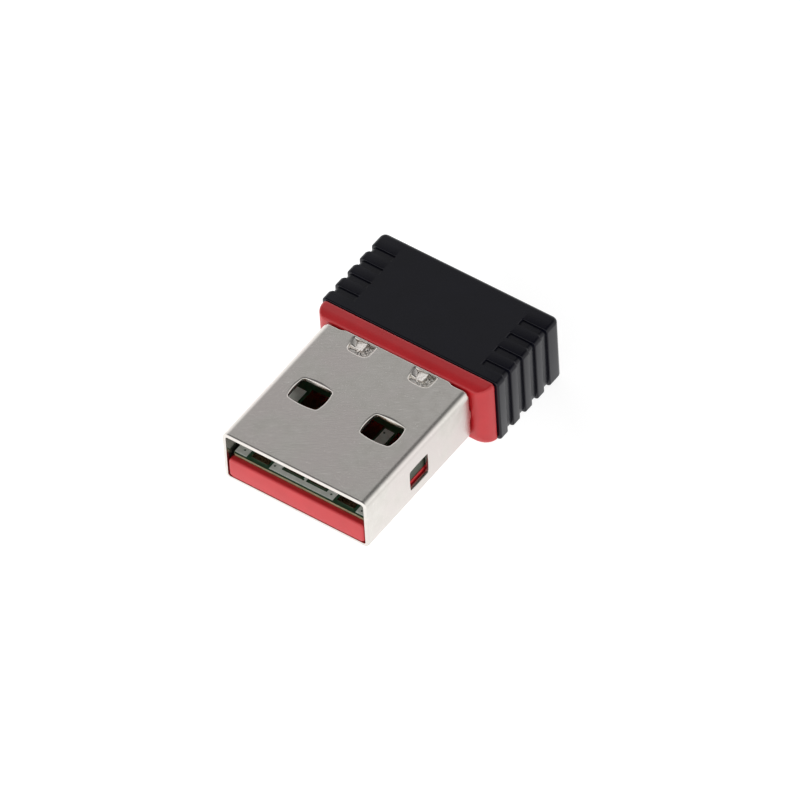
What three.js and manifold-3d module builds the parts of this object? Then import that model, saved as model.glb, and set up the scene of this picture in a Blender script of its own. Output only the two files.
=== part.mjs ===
// A nano-size USB Wi-Fi adapter: a USB-A plug, a red carrier moulding and a ribbed black cap
// around one circuit board.
//
// Millimetres. +Y runs from the plug's mouth to the closed end of the cap, +X is to the right
// and +Z is up. The origin is under the middle of the adapter, on the face it rests on.

import * as THREE from 'three';
import { mergeVertices } from 'three/addons/utils/BufferGeometryUtils.js';
import Module from 'manifold-3d';

const wasm = await Module();
wasm.setup();

// ---------------------------------------------------------------- driving dimensions

// Plug shell: a USB-A plug's standard section, folded from one sheet.
const PLUG_WIDTH = 12.0;
const PLUG_HEIGHT = 4.5;
const PLUG_LENGTH = 12.15;
const PLUG_LIFT = 1.04; // the plug's underside above the resting face
const SHEET = 0.3;
const BEND_RADIUS = 0.38; // outside of the sheet's bends
const LIP_RADIUS = 0.12; // rounded rim of the mouth

// Windows in the shell, measured from the mouth.
const TOP_WINDOW = { width: 2.5, length: 2.0, radius: 0.3, spacing: 6.0, start: 5.1 };
const SIDE_WINDOW = { height: 1.85, length: 2.1, radius: 0.12, start: 5.0, lift: 1.15 };

// Tabs staked down into the carrier near the shell's rear edge.
// Each tab hangs from its left edge on a ramp and lies in a D-shaped opening.
const TAB_OPENING = { width: 1.75, length: 1.1, shoulder: 0.66, spacing: 5.05, rearStrip: 0.18 };
const TAB = { drop: 0.34, ramp: 0.52, reach: 1.5, sideGap: 0.2 };
const CORNER_RELIEF = { depth: 0.17, inset: 1.8 };

// Seam where the folded sheet meets under the plug, with one rectangular key.
const SEAM = { width: 0.06, depth: 0.12, keyStart: 3.2, keyLength: 2.6, keyOffset: 0.75 };

// Housing: the carrier's collar and the cap share one section.
const HOUSING_HEIGHT = 5.72;
const HOUSING_CORNER = 0.3;
const COLLAR_START = 12.17;
const COLLAR_LENGTH = 1.34;
const COLLAR_WIDTH = 14.2;
const COLLAR_SIDE_SWEEP = 0.92; // how far the collar's front draws in at the sides and below
const COLLAR_TOP_RADIUS = 0.5;
const PARTING_GAP = 0.05;
const CAP_LENGTH = 7.28;
const CAP_WIDTH = 14.66;
const CAP_REAR_CORNER = 0.5;
const CAP_EDGE_RADIUS = 0.28;
const CAP_WALL = 0.8;

// Grip grooves, which leave one rib more than their number.
const GROOVE = {
  count: 4,
  first: 0.95,
  pitch: 1.44,
  width: 0.56,
  sideDepth: 0.2,
  faceDepth: 0.15,
  reach: 2.05,
};

// Carrier moulding inside the plug and the cap.
const CARRIER_WIDTH = 11.2;
const FRONT_WALL = { thickness: 0.45, height: 1.77, radius: 0.3 };
const BRIDGE_LENGTH = 1.9; // block above the board that the tabs bite into
const CHANNEL = { width: 8.4, start: 3.2, floor: 0.26 }; // room for parts under the board
const SPIGOT = { length: 1.6, wall: 0.5, corner: 0.3 };
const BARB = { length: 0.6, height: 1.2, rise: 0.16, start: 0.7 };
const FIT_GAP = 0.05; // between moulded pieces
const SEAT_GAP = 0.02; // between the board and what it rests on

// Circuit board.
const BOARD = { width: 11.1, length: 18.9, thickness: 0.8, start: 0.5, lift: 1.45, corner: 0.25 };
const FOIL = 0.05;
const SOLDER_GAP = 0.01;

// Contact pads, by name, from left to right seen from the mouth.
const PAD_WIDTH = 1.4;
const PAD_END = 8.0;
const PADS = [
  { name: 'contact_ground', x: -3.55, start: 0.83 },
  { name: 'contact_data_plus', x: -1.0, start: 1.2 },
  { name: 'contact_data_minus', x: 1.0, start: 1.2 },
  { name: 'contact_vbus', x: 3.55, start: 0.83 },
];
const PLANE = { width: 5.26, start: 0.65, end: 7.85, clearance: 0.18 };
const SIDE_STRIP = { width: 0.95, start: 0.65, end: 7.7, outer: 5.48 };

// Electronic parts: size along X and Y, and height.
const CHIP = { x: 6.0, y: 6.0, height: 0.8, chamfer: 0.12, start: 3.9 };
const CRYSTAL = { x: 3.2, y: 2.5, height: 0.45, start: 10.7, canInset: 0.15, canHeight: 0.28, corner: 0.2 };
const INDUCTOR = { x: 2.5, y: 2.0, height: 0.95, corner: 0.35, middle: -1.6 };
const SMALL_PART = { length: 1.0, width: 0.5, height: 0.5 };
const BULK_PART = { length: 1.6, width: 0.8, height: 0.8 };
const RESISTOR_HEIGHT = 0.35;
const DECOUPLING = { perSide: 4, margin: 0.75 }; // margin from the chip's edges
const TERMINAL_SHARE = 0.25; // part of a chip component's length under each metal end
const TERMINAL_STEP = 0.02; // how far the metal ends stand proud of the body
const ANTENNA = { trace: 0.5, gap: 0.45, legs: 6, depth: 1.5, feed: 0.9, clearance: 0.35 };

// The row of parts on the board inside the cap: its middle from the cap's open end, and places
// along X and across the row.
const PART_ROW = 1.9;
const BULK_PLACES = [1.5, 2.7];
const RESISTORS = { x: 4.3, offsets: [-0.5, 0.5] };
const MATCHING = { x: -4.3, offset: 0.8 };

// Mesh detail.
const ARC_STEPS = 6;
const SWEEP_STEPS = 10;
const MERGE_TOLERANCE = 1e-5;
const OVERCUT = 1.0; // how far a cutter runs past the face it cuts

// ---------------------------------------------------------------- places worked out from them

const TOTAL_LENGTH = COLLAR_START + COLLAR_LENGTH + PARTING_GAP + CAP_LENGTH;
const MOUTH = -TOTAL_LENGTH / 2;
const COLLAR_FRONT = MOUTH + COLLAR_START;
const COLLAR_REAR = COLLAR_FRONT + COLLAR_LENGTH;
const CAP_FRONT = COLLAR_REAR + PARTING_GAP;
const CAP_REAR = CAP_FRONT + CAP_LENGTH;
const PLUG_MIDDLE = PLUG_LIFT + PLUG_HEIGHT / 2;
const PLUG_TOP = PLUG_LIFT + PLUG_HEIGHT;
const PLUG_FLOOR = PLUG_LIFT + SHEET;
const PLUG_CEILING = PLUG_TOP - SHEET;
const BOARD_BOTTOM = PLUG_LIFT + BOARD.lift;
const BOARD_TOP = BOARD_BOTTOM + BOARD.thickness;
const BOARD_FRONT = MOUTH + BOARD.start;
const BOARD_REAR = BOARD_FRONT + BOARD.length;
const TAB_REAR = MOUTH + PLUG_LENGTH - TAB_OPENING.rearStrip;
const TAB_FRONT = TAB_REAR - TAB_OPENING.length;

// ---------------------------------------------------------------- shape helpers

const SIDES = [-1, 1];

function rectangle(width, height, radius = 0, centreX = 0, centreY = 0) {
  const shape = new THREE.Shape();
  const x = width / 2 - radius;
  const y = height / 2 - radius;
  if (radius === 0) {
    shape.moveTo(centreX + x, centreY - y);
    shape.lineTo(centreX + x, centreY + y);
    shape.lineTo(centreX - x, centreY + y);
    shape.lineTo(centreX - x, centreY - y);
    return shape;
  }
  shape.absarc(centreX + x, centreY + y, radius, 0, Math.PI / 2);
  shape.absarc(centreX - x, centreY + y, radius, Math.PI / 2, Math.PI);
  shape.absarc(centreX - x, centreY - y, radius, Math.PI, 1.5 * Math.PI);
  shape.absarc(centreX + x, centreY - y, radius, 1.5 * Math.PI, 2 * Math.PI);
  return shape;
}

function polygon(points) {
  return new THREE.Shape(points.map(([x, y]) => new THREE.Vector2(x, y)));
}

function toSolid(geometry) {
  geometry.deleteAttribute('normal');
  geometry.deleteAttribute('uv');
  const merged = mergeVertices(geometry, MERGE_TOLERANCE);
  const vertProperties = Float32Array.from(merged.attributes.position.array);
  const triVerts = Uint32Array.from(merged.index.array);
  return new wasm.Manifold(new wasm.Mesh({ numProp: 3, vertProperties, triVerts }));
}

function toGeometry(solid) {
  const mesh = solid.getMesh();
  const geometry = new THREE.BufferGeometry();
  geometry.setAttribute('position', new THREE.BufferAttribute(mesh.vertProperties, mesh.numProp));
  geometry.setIndex(new THREE.BufferAttribute(mesh.triVerts, 1));
  geometry.computeVertexNormals();
  return geometry;
}

function extruded(shape, depth, curveSegments) {
  return new THREE.ExtrudeGeometry(shape, { depth, bevelEnabled: false, curveSegments });
}

// A prism standing on a plan outline drawn in X and Y.
function alongZ(shape, start, depth, steps = ARC_STEPS) {
  return toSolid(extruded(shape, depth, steps).translate(0, 0, start));
}

// A prism whose outline is drawn in X and Z.
function alongY(shape, start, depth, steps = ARC_STEPS) {
  return toSolid(extruded(shape, depth, steps).rotateX(Math.PI / 2).translate(0, start + depth, 0));
}

// A prism whose outline is drawn in Y and Z.
function alongX(shape, start, depth, steps = ARC_STEPS) {
  const geometry = extruded(shape, depth, steps).rotateX(Math.PI / 2).rotateZ(Math.PI / 2);
  return toSolid(geometry.translate(start, 0, 0));
}

// A box by its lowest corner and its size.
function box(x, y, z, width, length, height) {
  const geometry = new THREE.BoxGeometry(width, length, height);
  return toSolid(geometry.translate(x + width / 2, y + length / 2, z + height / 2));
}

// A box centred on X, by its front, its bottom and its size.
function centredBox(y, z, width, length, height) {
  return box(-width / 2, y, z, width, length, height);
}

function joined(first, ...others) {
  return others.reduce((solid, other) => solid.add(other), first);
}

function cut(solid, cutters) {
  return cutters.reduce((rest, cutter) => rest.subtract(cutter), solid);
}

// ---------------------------------------------------------------- plug shell

// The folded sheet's outside, with its rim rounded at the mouth.
function shellBody() {
  const outline = rectangle(PLUG_WIDTH, PLUG_HEIGHT, BEND_RADIUS, 0, PLUG_MIDDLE);
  const rounded = new THREE.ExtrudeGeometry(outline, {
    depth: PLUG_LENGTH,
    curveSegments: ARC_STEPS,
    bevelThickness: LIP_RADIUS,
    bevelSize: LIP_RADIUS,
    bevelOffset: -LIP_RADIUS,
    bevelSegments: 3,
  });
  rounded.rotateX(Math.PI / 2).translate(0, MOUTH + LIP_RADIUS + PLUG_LENGTH, 0);
  const squareRear = centredBox(MOUTH - OVERCUT, 0, 2 * PLUG_WIDTH, OVERCUT + PLUG_LENGTH, 2 * PLUG_HEIGHT);
  return toSolid(rounded).intersect(squareRear);
}

function shellWindows() {
  const topOutline = (side) => rectangle(
    TOP_WINDOW.width,
    TOP_WINDOW.length,
    TOP_WINDOW.radius,
    side * TOP_WINDOW.spacing / 2,
    MOUTH + TOP_WINDOW.start + TOP_WINDOW.length / 2,
  );
  const sideOutline = rectangle(
    SIDE_WINDOW.length,
    SIDE_WINDOW.height,
    SIDE_WINDOW.radius,
    MOUTH + SIDE_WINDOW.start + SIDE_WINDOW.length / 2,
    PLUG_LIFT + SIDE_WINDOW.lift + SIDE_WINDOW.height / 2,
  );
  const throughTopAndBottom = SIDES.map((side) => alongZ(topOutline(side), 0, PLUG_TOP + OVERCUT));
  return [...throughTopAndBottom, alongX(sideOutline, -PLUG_WIDTH, 2 * PLUG_WIDTH)];
}

// A D-shaped opening: straight at the rear, bowed at the front.
function tabOpening(side) {
  const centre = side * TAB_OPENING.spacing / 2;
  const half = TAB_OPENING.width / 2;
  const shape = new THREE.Shape();
  shape.moveTo(centre + half, TAB_REAR);
  shape.lineTo(centre - half, TAB_REAR);
  shape.lineTo(centre - half, TAB_REAR - TAB_OPENING.shoulder);
  shape.bezierCurveTo(
    centre - half, TAB_FRONT,
    centre + half, TAB_FRONT,
    centre + half, TAB_REAR - TAB_OPENING.shoulder,
  );
  return alongZ(shape, PLUG_CEILING - OVERCUT, SHEET + 2 * OVERCUT);
}

// The metal pressed down in that opening: it hangs from the left edge on a short ramp.
function stakedTab(side) {
  const left = side * TAB_OPENING.spacing / 2 - TAB_OPENING.width / 2;
  const rampStart = left - SHEET;
  const rampEnd = left + TAB.ramp;
  const tip = left + TAB.reach;
  const profile = polygon([
    [rampStart, PLUG_TOP],
    [rampStart, PLUG_CEILING],
    [left, PLUG_CEILING],
    [rampEnd, PLUG_CEILING - TAB.drop],
    [tip, PLUG_CEILING - TAB.drop],
    [tip, PLUG_TOP - TAB.drop],
    [rampEnd, PLUG_TOP - TAB.drop],
    [left, PLUG_TOP],
  ]);
  return alongY(profile, TAB_FRONT + TAB.sideGap, TAB_OPENING.length - 2 * TAB.sideGap);
}

function seamGroove() {
  const bottom = PLUG_LIFT - OVERCUT;
  const height = OVERCUT + SEAM.depth;
  const keyStart = MOUTH + SEAM.keyStart;
  const keyEnd = keyStart + SEAM.keyLength;
  const line = (x, from, to) => box(x - SEAM.width / 2, from, bottom, SEAM.width, to - from, height);
  const step = (y) => box(-SEAM.width / 2, y, bottom, SEAM.keyOffset + SEAM.width, SEAM.width, height);
  return joined(
    line(0, MOUTH - OVERCUT, keyStart + SEAM.width),
    step(keyStart),
    line(SEAM.keyOffset, keyStart, keyEnd + SEAM.width),
    step(keyEnd),
    line(0, keyEnd, MOUTH + PLUG_LENGTH + OVERCUT),
  );
}

// The sheet stops a little short at its four bends, in front of the collar.
function cornerRelief(side) {
  const inner = PLUG_WIDTH / 2 - CORNER_RELIEF.inset;
  const x = side < 0 ? -PLUG_WIDTH : inner;
  const start = MOUTH + PLUG_LENGTH - CORNER_RELIEF.depth;
  return box(x, start, 0, PLUG_WIDTH - inner, CORNER_RELIEF.depth + OVERCUT, 2 * PLUG_HEIGHT);
}

function usbShell() {
  const inside = rectangle(
    PLUG_WIDTH - 2 * SHEET,
    PLUG_HEIGHT - 2 * SHEET,
    BEND_RADIUS - SHEET,
    0,
    PLUG_MIDDLE,
  );
  const bore = alongY(inside, MOUTH - OVERCUT, PLUG_LENGTH + 2 * OVERCUT);
  const openings = SIDES.map(tabOpening);
  const trims = [seamGroove(), ...SIDES.map(cornerRelief)];
  const sheet = cut(shellBody(), [bore, ...shellWindows(), ...openings, ...trims]);
  return joined(sheet, ...SIDES.map(stakedTab));
}

// ---------------------------------------------------------------- carrier moulding

// The collar is where three outlines agree: its section, its plan and its side view. Their
// swept fronts meet in a mitred line at each upper corner.
function collarBody() {
  const half = COLLAR_WIDTH / 2;
  const sweepY = COLLAR_REAR - COLLAR_FRONT;
  const section = rectangle(COLLAR_WIDTH, HOUSING_HEIGHT, HOUSING_CORNER, 0, HOUSING_HEIGHT / 2);

  const plan = new THREE.Shape();
  plan.moveTo(half, COLLAR_REAR);
  plan.lineTo(-half, COLLAR_REAR);
  plan.absellipse(
    -half + COLLAR_SIDE_SWEEP, COLLAR_REAR, COLLAR_SIDE_SWEEP, sweepY, Math.PI, 1.5 * Math.PI,
  );
  plan.absellipse(
    half - COLLAR_SIDE_SWEEP, COLLAR_REAR, COLLAR_SIDE_SWEEP, sweepY, 1.5 * Math.PI, 2 * Math.PI,
  );

  const view = new THREE.Shape();
  view.moveTo(COLLAR_REAR, 0);
  view.lineTo(COLLAR_REAR, HOUSING_HEIGHT);
  view.absarc(
    COLLAR_FRONT + COLLAR_TOP_RADIUS, HOUSING_HEIGHT - COLLAR_TOP_RADIUS, COLLAR_TOP_RADIUS,
    Math.PI / 2, Math.PI,
  );
  view.absellipse(COLLAR_REAR, COLLAR_SIDE_SWEEP, sweepY, COLLAR_SIDE_SWEEP, Math.PI, 1.5 * Math.PI);

  return alongY(section, COLLAR_FRONT, COLLAR_LENGTH)
    .intersect(alongZ(plan, 0, HOUSING_HEIGHT, SWEEP_STEPS))
    .intersect(alongX(view, -half, COLLAR_WIDTH, SWEEP_STEPS));
}

// The tray under the board, closed at the mouth by the front wall.
function trayBody() {
  const floor = PLUG_FLOOR + FIT_GAP / 2;
  const top = BOARD_BOTTOM - SEAT_GAP;
  const tray = centredBox(MOUTH, floor, CARRIER_WIDTH, COLLAR_START + COLLAR_LENGTH / 2, top - floor);
  const wallOutline = rectangle(
    CARRIER_WIDTH,
    FRONT_WALL.height,
    FRONT_WALL.radius,
    0,
    floor + FRONT_WALL.height / 2,
  );
  const cornerTrim = alongY(wallOutline, MOUTH, FRONT_WALL.thickness);
  const frontSlab = centredBox(MOUTH - OVERCUT, 0, PLUG_WIDTH, OVERCUT + FRONT_WALL.thickness, PLUG_TOP);
  return tray.subtract(frontSlab).add(cornerTrim);
}

// The block above the board at the rear of the plug, with a pocket under each staked tab.
function bridgeBody() {
  const start = COLLAR_FRONT - BRIDGE_LENGTH;
  const bottom = BOARD_TOP + SEAT_GAP;
  const top = PLUG_CEILING - FIT_GAP;
  const block = centredBox(start, bottom, CARRIER_WIDTH, BRIDGE_LENGTH + COLLAR_LENGTH / 2, top - bottom);
  const pocketWidth = TAB_OPENING.width + 2 * FIT_GAP;
  const pocketDrop = TAB.drop + FIT_GAP;
  const pockets = SIDES.map((side) => box(
    side * TAB_OPENING.spacing / 2 - pocketWidth / 2,
    TAB_FRONT - FIT_GAP,
    PLUG_CEILING - pocketDrop,
    pocketWidth,
    TAB_OPENING.length + FIT_GAP,
    pocketDrop,
  ));
  return cut(block, pockets);
}

// The ring that carries the cap, with a barb on each side.
function spigotBody() {
  const width = spigotWidth();
  const height = spigotHeight();
  const start = COLLAR_REAR - COLLAR_LENGTH / 2;
  const length = COLLAR_LENGTH / 2 + SPIGOT.length;
  const middle = HOUSING_HEIGHT / 2;
  const outside = alongY(rectangle(width, height, SPIGOT.corner, 0, middle), start, length);
  const innerWidth = width - 2 * SPIGOT.wall;
  const innerHeight = height - 2 * SPIGOT.wall;
  const innerLength = SPIGOT.length + OVERCUT;
  const inside = centredBox(COLLAR_REAR, middle - innerHeight / 2, innerWidth, innerLength, innerHeight);
  return joined(outside.subtract(inside), ...SIDES.map((side) => barb(side, 0)));
}

function spigotWidth() {
  return CAP_WIDTH - 2 * (CAP_WALL + FIT_GAP);
}

function spigotHeight() {
  return HOUSING_HEIGHT - 2 * (CAP_WALL + FIT_GAP);
}

// A wedge on the spigot's side. The cap's matching recess is the same wedge, grown by a gap.
function barb(side, grown) {
  const face = spigotWidth() / 2;
  const front = CAP_FRONT + BARB.start - grown;
  const rear = front + BARB.length + 2 * grown;
  const root = face - SPIGOT.wall / 2;
  const outline = polygon([
    [side * root, front],
    [side * (face + BARB.rise + grown), front],
    [side * (face + grown), rear],
    [side * root, rear],
  ]);
  const height = BARB.height + 2 * grown;
  return alongZ(outline, (HOUSING_HEIGHT - height) / 2, height);
}

// The board's slot through the collar, and the channel for the parts under the board.
function carrierPassages() {
  const slotBottom = BOARD_BOTTOM - SEAT_GAP;
  const slotHeight = BOARD.thickness + 2 * SEAT_GAP;
  const slotWidth = BOARD.width + 2 * FIT_GAP;
  const slot = centredBox(BOARD_FRONT - FIT_GAP, slotBottom, slotWidth, BOARD.length, slotHeight);
  const channelBottom = PLUG_FLOOR + CHANNEL.floor;
  const channel = centredBox(
    MOUTH + CHANNEL.start,
    channelBottom,
    CHANNEL.width,
    BOARD.length,
    BOARD_BOTTOM - channelBottom,
  );
  return [slot, channel];
}

function carrier() {
  return cut(joined(collarBody(), trayBody(), bridgeBody(), spigotBody()), carrierPassages());
}

// ---------------------------------------------------------------- ribbed cap

function capBody() {
  const half = CAP_WIDTH / 2;
  const section = rectangle(CAP_WIDTH, HOUSING_HEIGHT, HOUSING_CORNER, 0, HOUSING_HEIGHT / 2);

  const plan = new THREE.Shape();
  plan.moveTo(-half, CAP_FRONT);
  plan.lineTo(half, CAP_FRONT);
  plan.absarc(half - CAP_REAR_CORNER, CAP_REAR - CAP_REAR_CORNER, CAP_REAR_CORNER, 0, Math.PI / 2);
  plan.absarc(-half + CAP_REAR_CORNER, CAP_REAR - CAP_REAR_CORNER, CAP_REAR_CORNER, Math.PI / 2, Math.PI);

  const view = new THREE.Shape();
  view.moveTo(CAP_FRONT, HOUSING_HEIGHT);
  view.lineTo(CAP_FRONT, 0);
  view.absarc(CAP_REAR - CAP_EDGE_RADIUS, CAP_EDGE_RADIUS, CAP_EDGE_RADIUS, 1.5 * Math.PI, 2 * Math.PI);
  view.absarc(CAP_REAR - CAP_EDGE_RADIUS, HOUSING_HEIGHT - CAP_EDGE_RADIUS, CAP_EDGE_RADIUS, 0, Math.PI / 2);

  return alongY(section, CAP_FRONT, CAP_LENGTH)
    .intersect(alongZ(plan, 0, HOUSING_HEIGHT))
    .intersect(alongX(view, -half, CAP_WIDTH));
}

// One pair of grooves, which wraps from each side onto the top and bottom faces. What the
// cutter leaves is a plus-shaped core: narrow at full height, full width at a lower height.
function groovePair(index) {
  const start = CAP_FRONT + GROOVE.first + index * GROOVE.pitch;
  const ring = centredBox(start, -OVERCUT, 2 * CAP_WIDTH, GROOVE.width, HOUSING_HEIGHT + 2 * OVERCUT);
  const low = rectangle(
    CAP_WIDTH - 2 * GROOVE.sideDepth,
    HOUSING_HEIGHT - 2 * GROOVE.faceDepth,
    HOUSING_CORNER,
    0,
    HOUSING_HEIGHT / 2,
  );
  const lowCore = alongY(low, start - OVERCUT, GROOVE.width + 2 * OVERCUT);
  const highWidth = CAP_WIDTH - 2 * GROOVE.reach;
  const highCore = centredBox(
    start - OVERCUT,
    -2 * OVERCUT,
    highWidth,
    GROOVE.width + 2 * OVERCUT,
    HOUSING_HEIGHT + 4 * OVERCUT,
  );
  return cut(ring, [lowCore, highCore]);
}

function housingCap() {
  const grooves = Array.from({ length: GROOVE.count }, (_, index) => groovePair(index));
  const hollow = centredBox(
    CAP_FRONT - OVERCUT,
    CAP_WALL,
    CAP_WIDTH - 2 * CAP_WALL,
    CAP_LENGTH - CAP_WALL + OVERCUT,
    HOUSING_HEIGHT - 2 * CAP_WALL,
  );
  const recesses = SIDES.map((side) => barb(side, FIT_GAP));
  return cut(capBody(), [...grooves, hollow, ...recesses]);
}

// ---------------------------------------------------------------- circuit board and its foil

function pcb() {
  const outline = rectangle(BOARD.width, BOARD.length, BOARD.corner, 0, (BOARD_FRONT + BOARD_REAR) / 2);
  return alongZ(outline, BOARD_BOTTOM, BOARD.thickness);
}

function foilBox(x, start, end, width) {
  return box(x - width / 2, MOUTH + start, BOARD_TOP + SOLDER_GAP, width, end - start, FOIL);
}

function contactPad(pad) {
  return foilBox(pad.x, pad.start, PAD_END, PAD_WIDTH);
}

// The tinned plane between the outer pads, cleared round the two data pads.
function tinnedPlane() {
  const plane = foilBox(0, PLANE.start, PLANE.end, PLANE.width);
  const dataPads = PADS.slice(1, 3);
  const clearings = dataPads.map((pad) => {
    const width = PAD_WIDTH + 2 * PLANE.clearance;
    const start = MOUTH + pad.start - PLANE.clearance;
    return box(pad.x - width / 2, start, BOARD_TOP, width, PLANE.end + OVERCUT, 2 * FOIL);
  });
  return cut(plane, clearings);
}

function sideStrip(side) {
  const middle = side * (SIDE_STRIP.outer - SIDE_STRIP.width / 2);
  return foilBox(middle, SIDE_STRIP.start, SIDE_STRIP.end, SIDE_STRIP.width);
}

// A meandering printed antenna across the board's rear end.
function antennaTrace() {
  const z = BOARD_TOP + SOLDER_GAP;
  const pitch = ANTENNA.trace + ANTENNA.gap;
  const left = -(ANTENNA.legs - 1) * pitch / 2 - ANTENNA.trace / 2;
  const rear = BOARD_REAR - ANTENNA.clearance;
  const front = rear - ANTENNA.depth;
  const legs = [];
  for (let index = 0; index < ANTENNA.legs; index += 1) {
    const x = left + index * pitch;
    legs.push(box(x, front, z, ANTENNA.trace, ANTENNA.depth, FOIL));
    if (index < ANTENNA.legs - 1) {
      const turn = index % 2 === 0 ? rear - ANTENNA.trace : front;
      legs.push(box(x, turn, z, pitch + ANTENNA.trace, ANTENNA.trace, FOIL));
    }
  }
  const feed = box(left, front - ANTENNA.feed, z, ANTENNA.trace, ANTENNA.feed + ANTENNA.trace, FOIL);
  return joined(feed, ...legs);
}

// ---------------------------------------------------------------- electronic parts

// Parts hang under the board (face -1) or stand on it (face +1).
function onBoard(face, height) {
  return face > 0 ? BOARD_TOP + SOLDER_GAP : BOARD_BOTTOM - SOLDER_GAP - height;
}

// The chip's package, with the usual small bevel round its outer face.
function wifiChip() {
  const z = onBoard(-1, CHIP.height);
  const geometry = new THREE.ExtrudeGeometry(rectangle(CHIP.x, CHIP.y), {
    depth: CHIP.height,
    bevelThickness: CHIP.chamfer,
    bevelSize: CHIP.chamfer,
    bevelOffset: -CHIP.chamfer,
    bevelSegments: 1,
  });
  geometry.translate(0, MOUTH + CHIP.start + CHIP.y / 2, z);
  const slab = centredBox(MOUTH, z, PLUG_WIDTH, COLLAR_START, CHIP.height);
  return toSolid(geometry.translate(0, 0, CHIP.chamfer)).intersect(slab);
}

function crystalPiece(inset, farFromBoard, height) {
  const outline = rectangle(
    CRYSTAL.x - 2 * inset,
    CRYSTAL.y - 2 * inset,
    CRYSTAL.corner,
    0,
    MOUTH + CRYSTAL.start + CRYSTAL.y / 2,
  );
  return alongZ(outline, onBoard(-1, farFromBoard + height), height);
}

function powerInductor(x, y) {
  const outline = rectangle(INDUCTOR.x, INDUCTOR.y, INDUCTOR.corner, x, y);
  return alongZ(outline, onBoard(1, INDUCTOR.height), INDUCTOR.height);
}

// A capacitor or resistor: a slim body between two slightly larger metal ends.
function chipPart(part) {
  const { x, y, face, turned, size, height } = part;
  const z = onBoard(face, height);
  const endLength = size.length * TERMINAL_SHARE;
  const slice = (from, length, shrink) => {
    const width = size.width - 2 * shrink;
    const across = [x - width / 2, width];
    const along = [y + from - size.length / 2, length];
    const turnedAcross = [y - width / 2, width];
    const turnedAlong = [x + from - size.length / 2, length];
    const [xs, ys] = turned ? [turnedAlong, turnedAcross] : [across, along];
    return box(xs[0], ys[0], z + shrink, xs[1], ys[1], height - 2 * shrink);
  };
  return joined(
    slice(0, endLength, 0),
    slice(size.length - endLength, endLength, 0),
    slice(endLength / 2, size.length - endLength, TERMINAL_STEP),
  );
}

// Decoupling capacitors in a row down each side of the Wi-Fi chip.
function decouplingCapacitors() {
  const { perSide, margin } = DECOUPLING;
  const parts = [];
  for (const side of SIDES) {
    for (let index = 0; index < perSide; index += 1) {
      parts.push({
        name: `decoupling_capacitor_${parts.length + 1}`,
        finish: 'capacitor',
        x: side * (CHIP.x / 2 + margin),
        y: MOUTH + CHIP.start + margin + index * (CHIP.y - 2 * margin) / (perSide - 1),
        face: -1,
        turned: false,
        size: SMALL_PART,
        height: SMALL_PART.height,
      });
    }
  }
  return parts;
}

// Parts on top of the board inside the cap, in one row in front of the antenna.
function capSideParts() {
  const row = CAP_FRONT + PART_ROW;
  const bulk = { finish: 'capacitor', face: 1, turned: false, size: BULK_PART, height: BULK_PART.height };
  const small = { face: 1, turned: true, size: SMALL_PART, height: SMALL_PART.height };
  const resistor = { ...small, finish: 'resistor', height: RESISTOR_HEIGHT, x: RESISTORS.x };
  const matching = { ...small, x: MATCHING.x };
  const bulkParts = BULK_PLACES.map((x, index) => ({
    ...bulk,
    name: `bulk_capacitor_${index + 1}`,
    x,
    y: row,
  }));
  const resistors = RESISTORS.offsets.map((offset, index) => ({
    ...resistor,
    name: `bias_resistor_${index + 1}`,
    y: row + offset,
  }));
  return [
    ...bulkParts,
    ...resistors,
    { ...matching, name: 'rf_matching_capacitor_1', finish: 'capacitor', y: row - MATCHING.offset },
    { ...matching, name: 'rf_matching_capacitor_2', finish: 'capacitor', y: row },
    { ...matching, name: 'rf_matching_inductor', finish: 'inductor', y: row + MATCHING.offset },
  ];
}

// ---------------------------------------------------------------- finishes and assembly

const FINISHES = {
  nickel: { color: 0xa9a39d, roughness: 0.32, metalness: 1.0 },
  redPlastic: { color: 0xb3222a, roughness: 0.42, metalness: 0.0 },
  blackPlastic: { color: 0x1b1b21, roughness: 0.5, metalness: 0.0 },
  boardGreen: { color: 0x27402f, roughness: 0.45, metalness: 0.0 },
  contactGold: { color: 0x8a6a34, roughness: 0.25, metalness: 1.0 },
  tin: { color: 0x9fa69c, roughness: 0.4, metalness: 1.0 },
  copper: { color: 0x3d6b45, roughness: 0.4, metalness: 0.3 },
  chipPackage: { color: 0x17181a, roughness: 0.6, metalness: 0.0 },
  crystalCeramic: { color: 0xb9a98c, roughness: 0.7, metalness: 0.0 },
  crystalCan: { color: 0xc9c4b6, roughness: 0.28, metalness: 1.0 },
  inductor: { color: 0x3a3b3e, roughness: 0.65, metalness: 0.0 },
  capacitor: { color: 0x9b7a55, roughness: 0.55, metalness: 0.0 },
  resistor: { color: 0x202124, roughness: 0.5, metalness: 0.0 },
};

const adapter = new THREE.Group();
adapter.name = 'usb_wifi_adapter';

function addPiece(name, solid, finish) {
  const mesh = new THREE.Mesh(toGeometry(solid), new THREE.MeshStandardMaterial(FINISHES[finish]));
  mesh.name = name;
  adapter.add(mesh);
}

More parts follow.
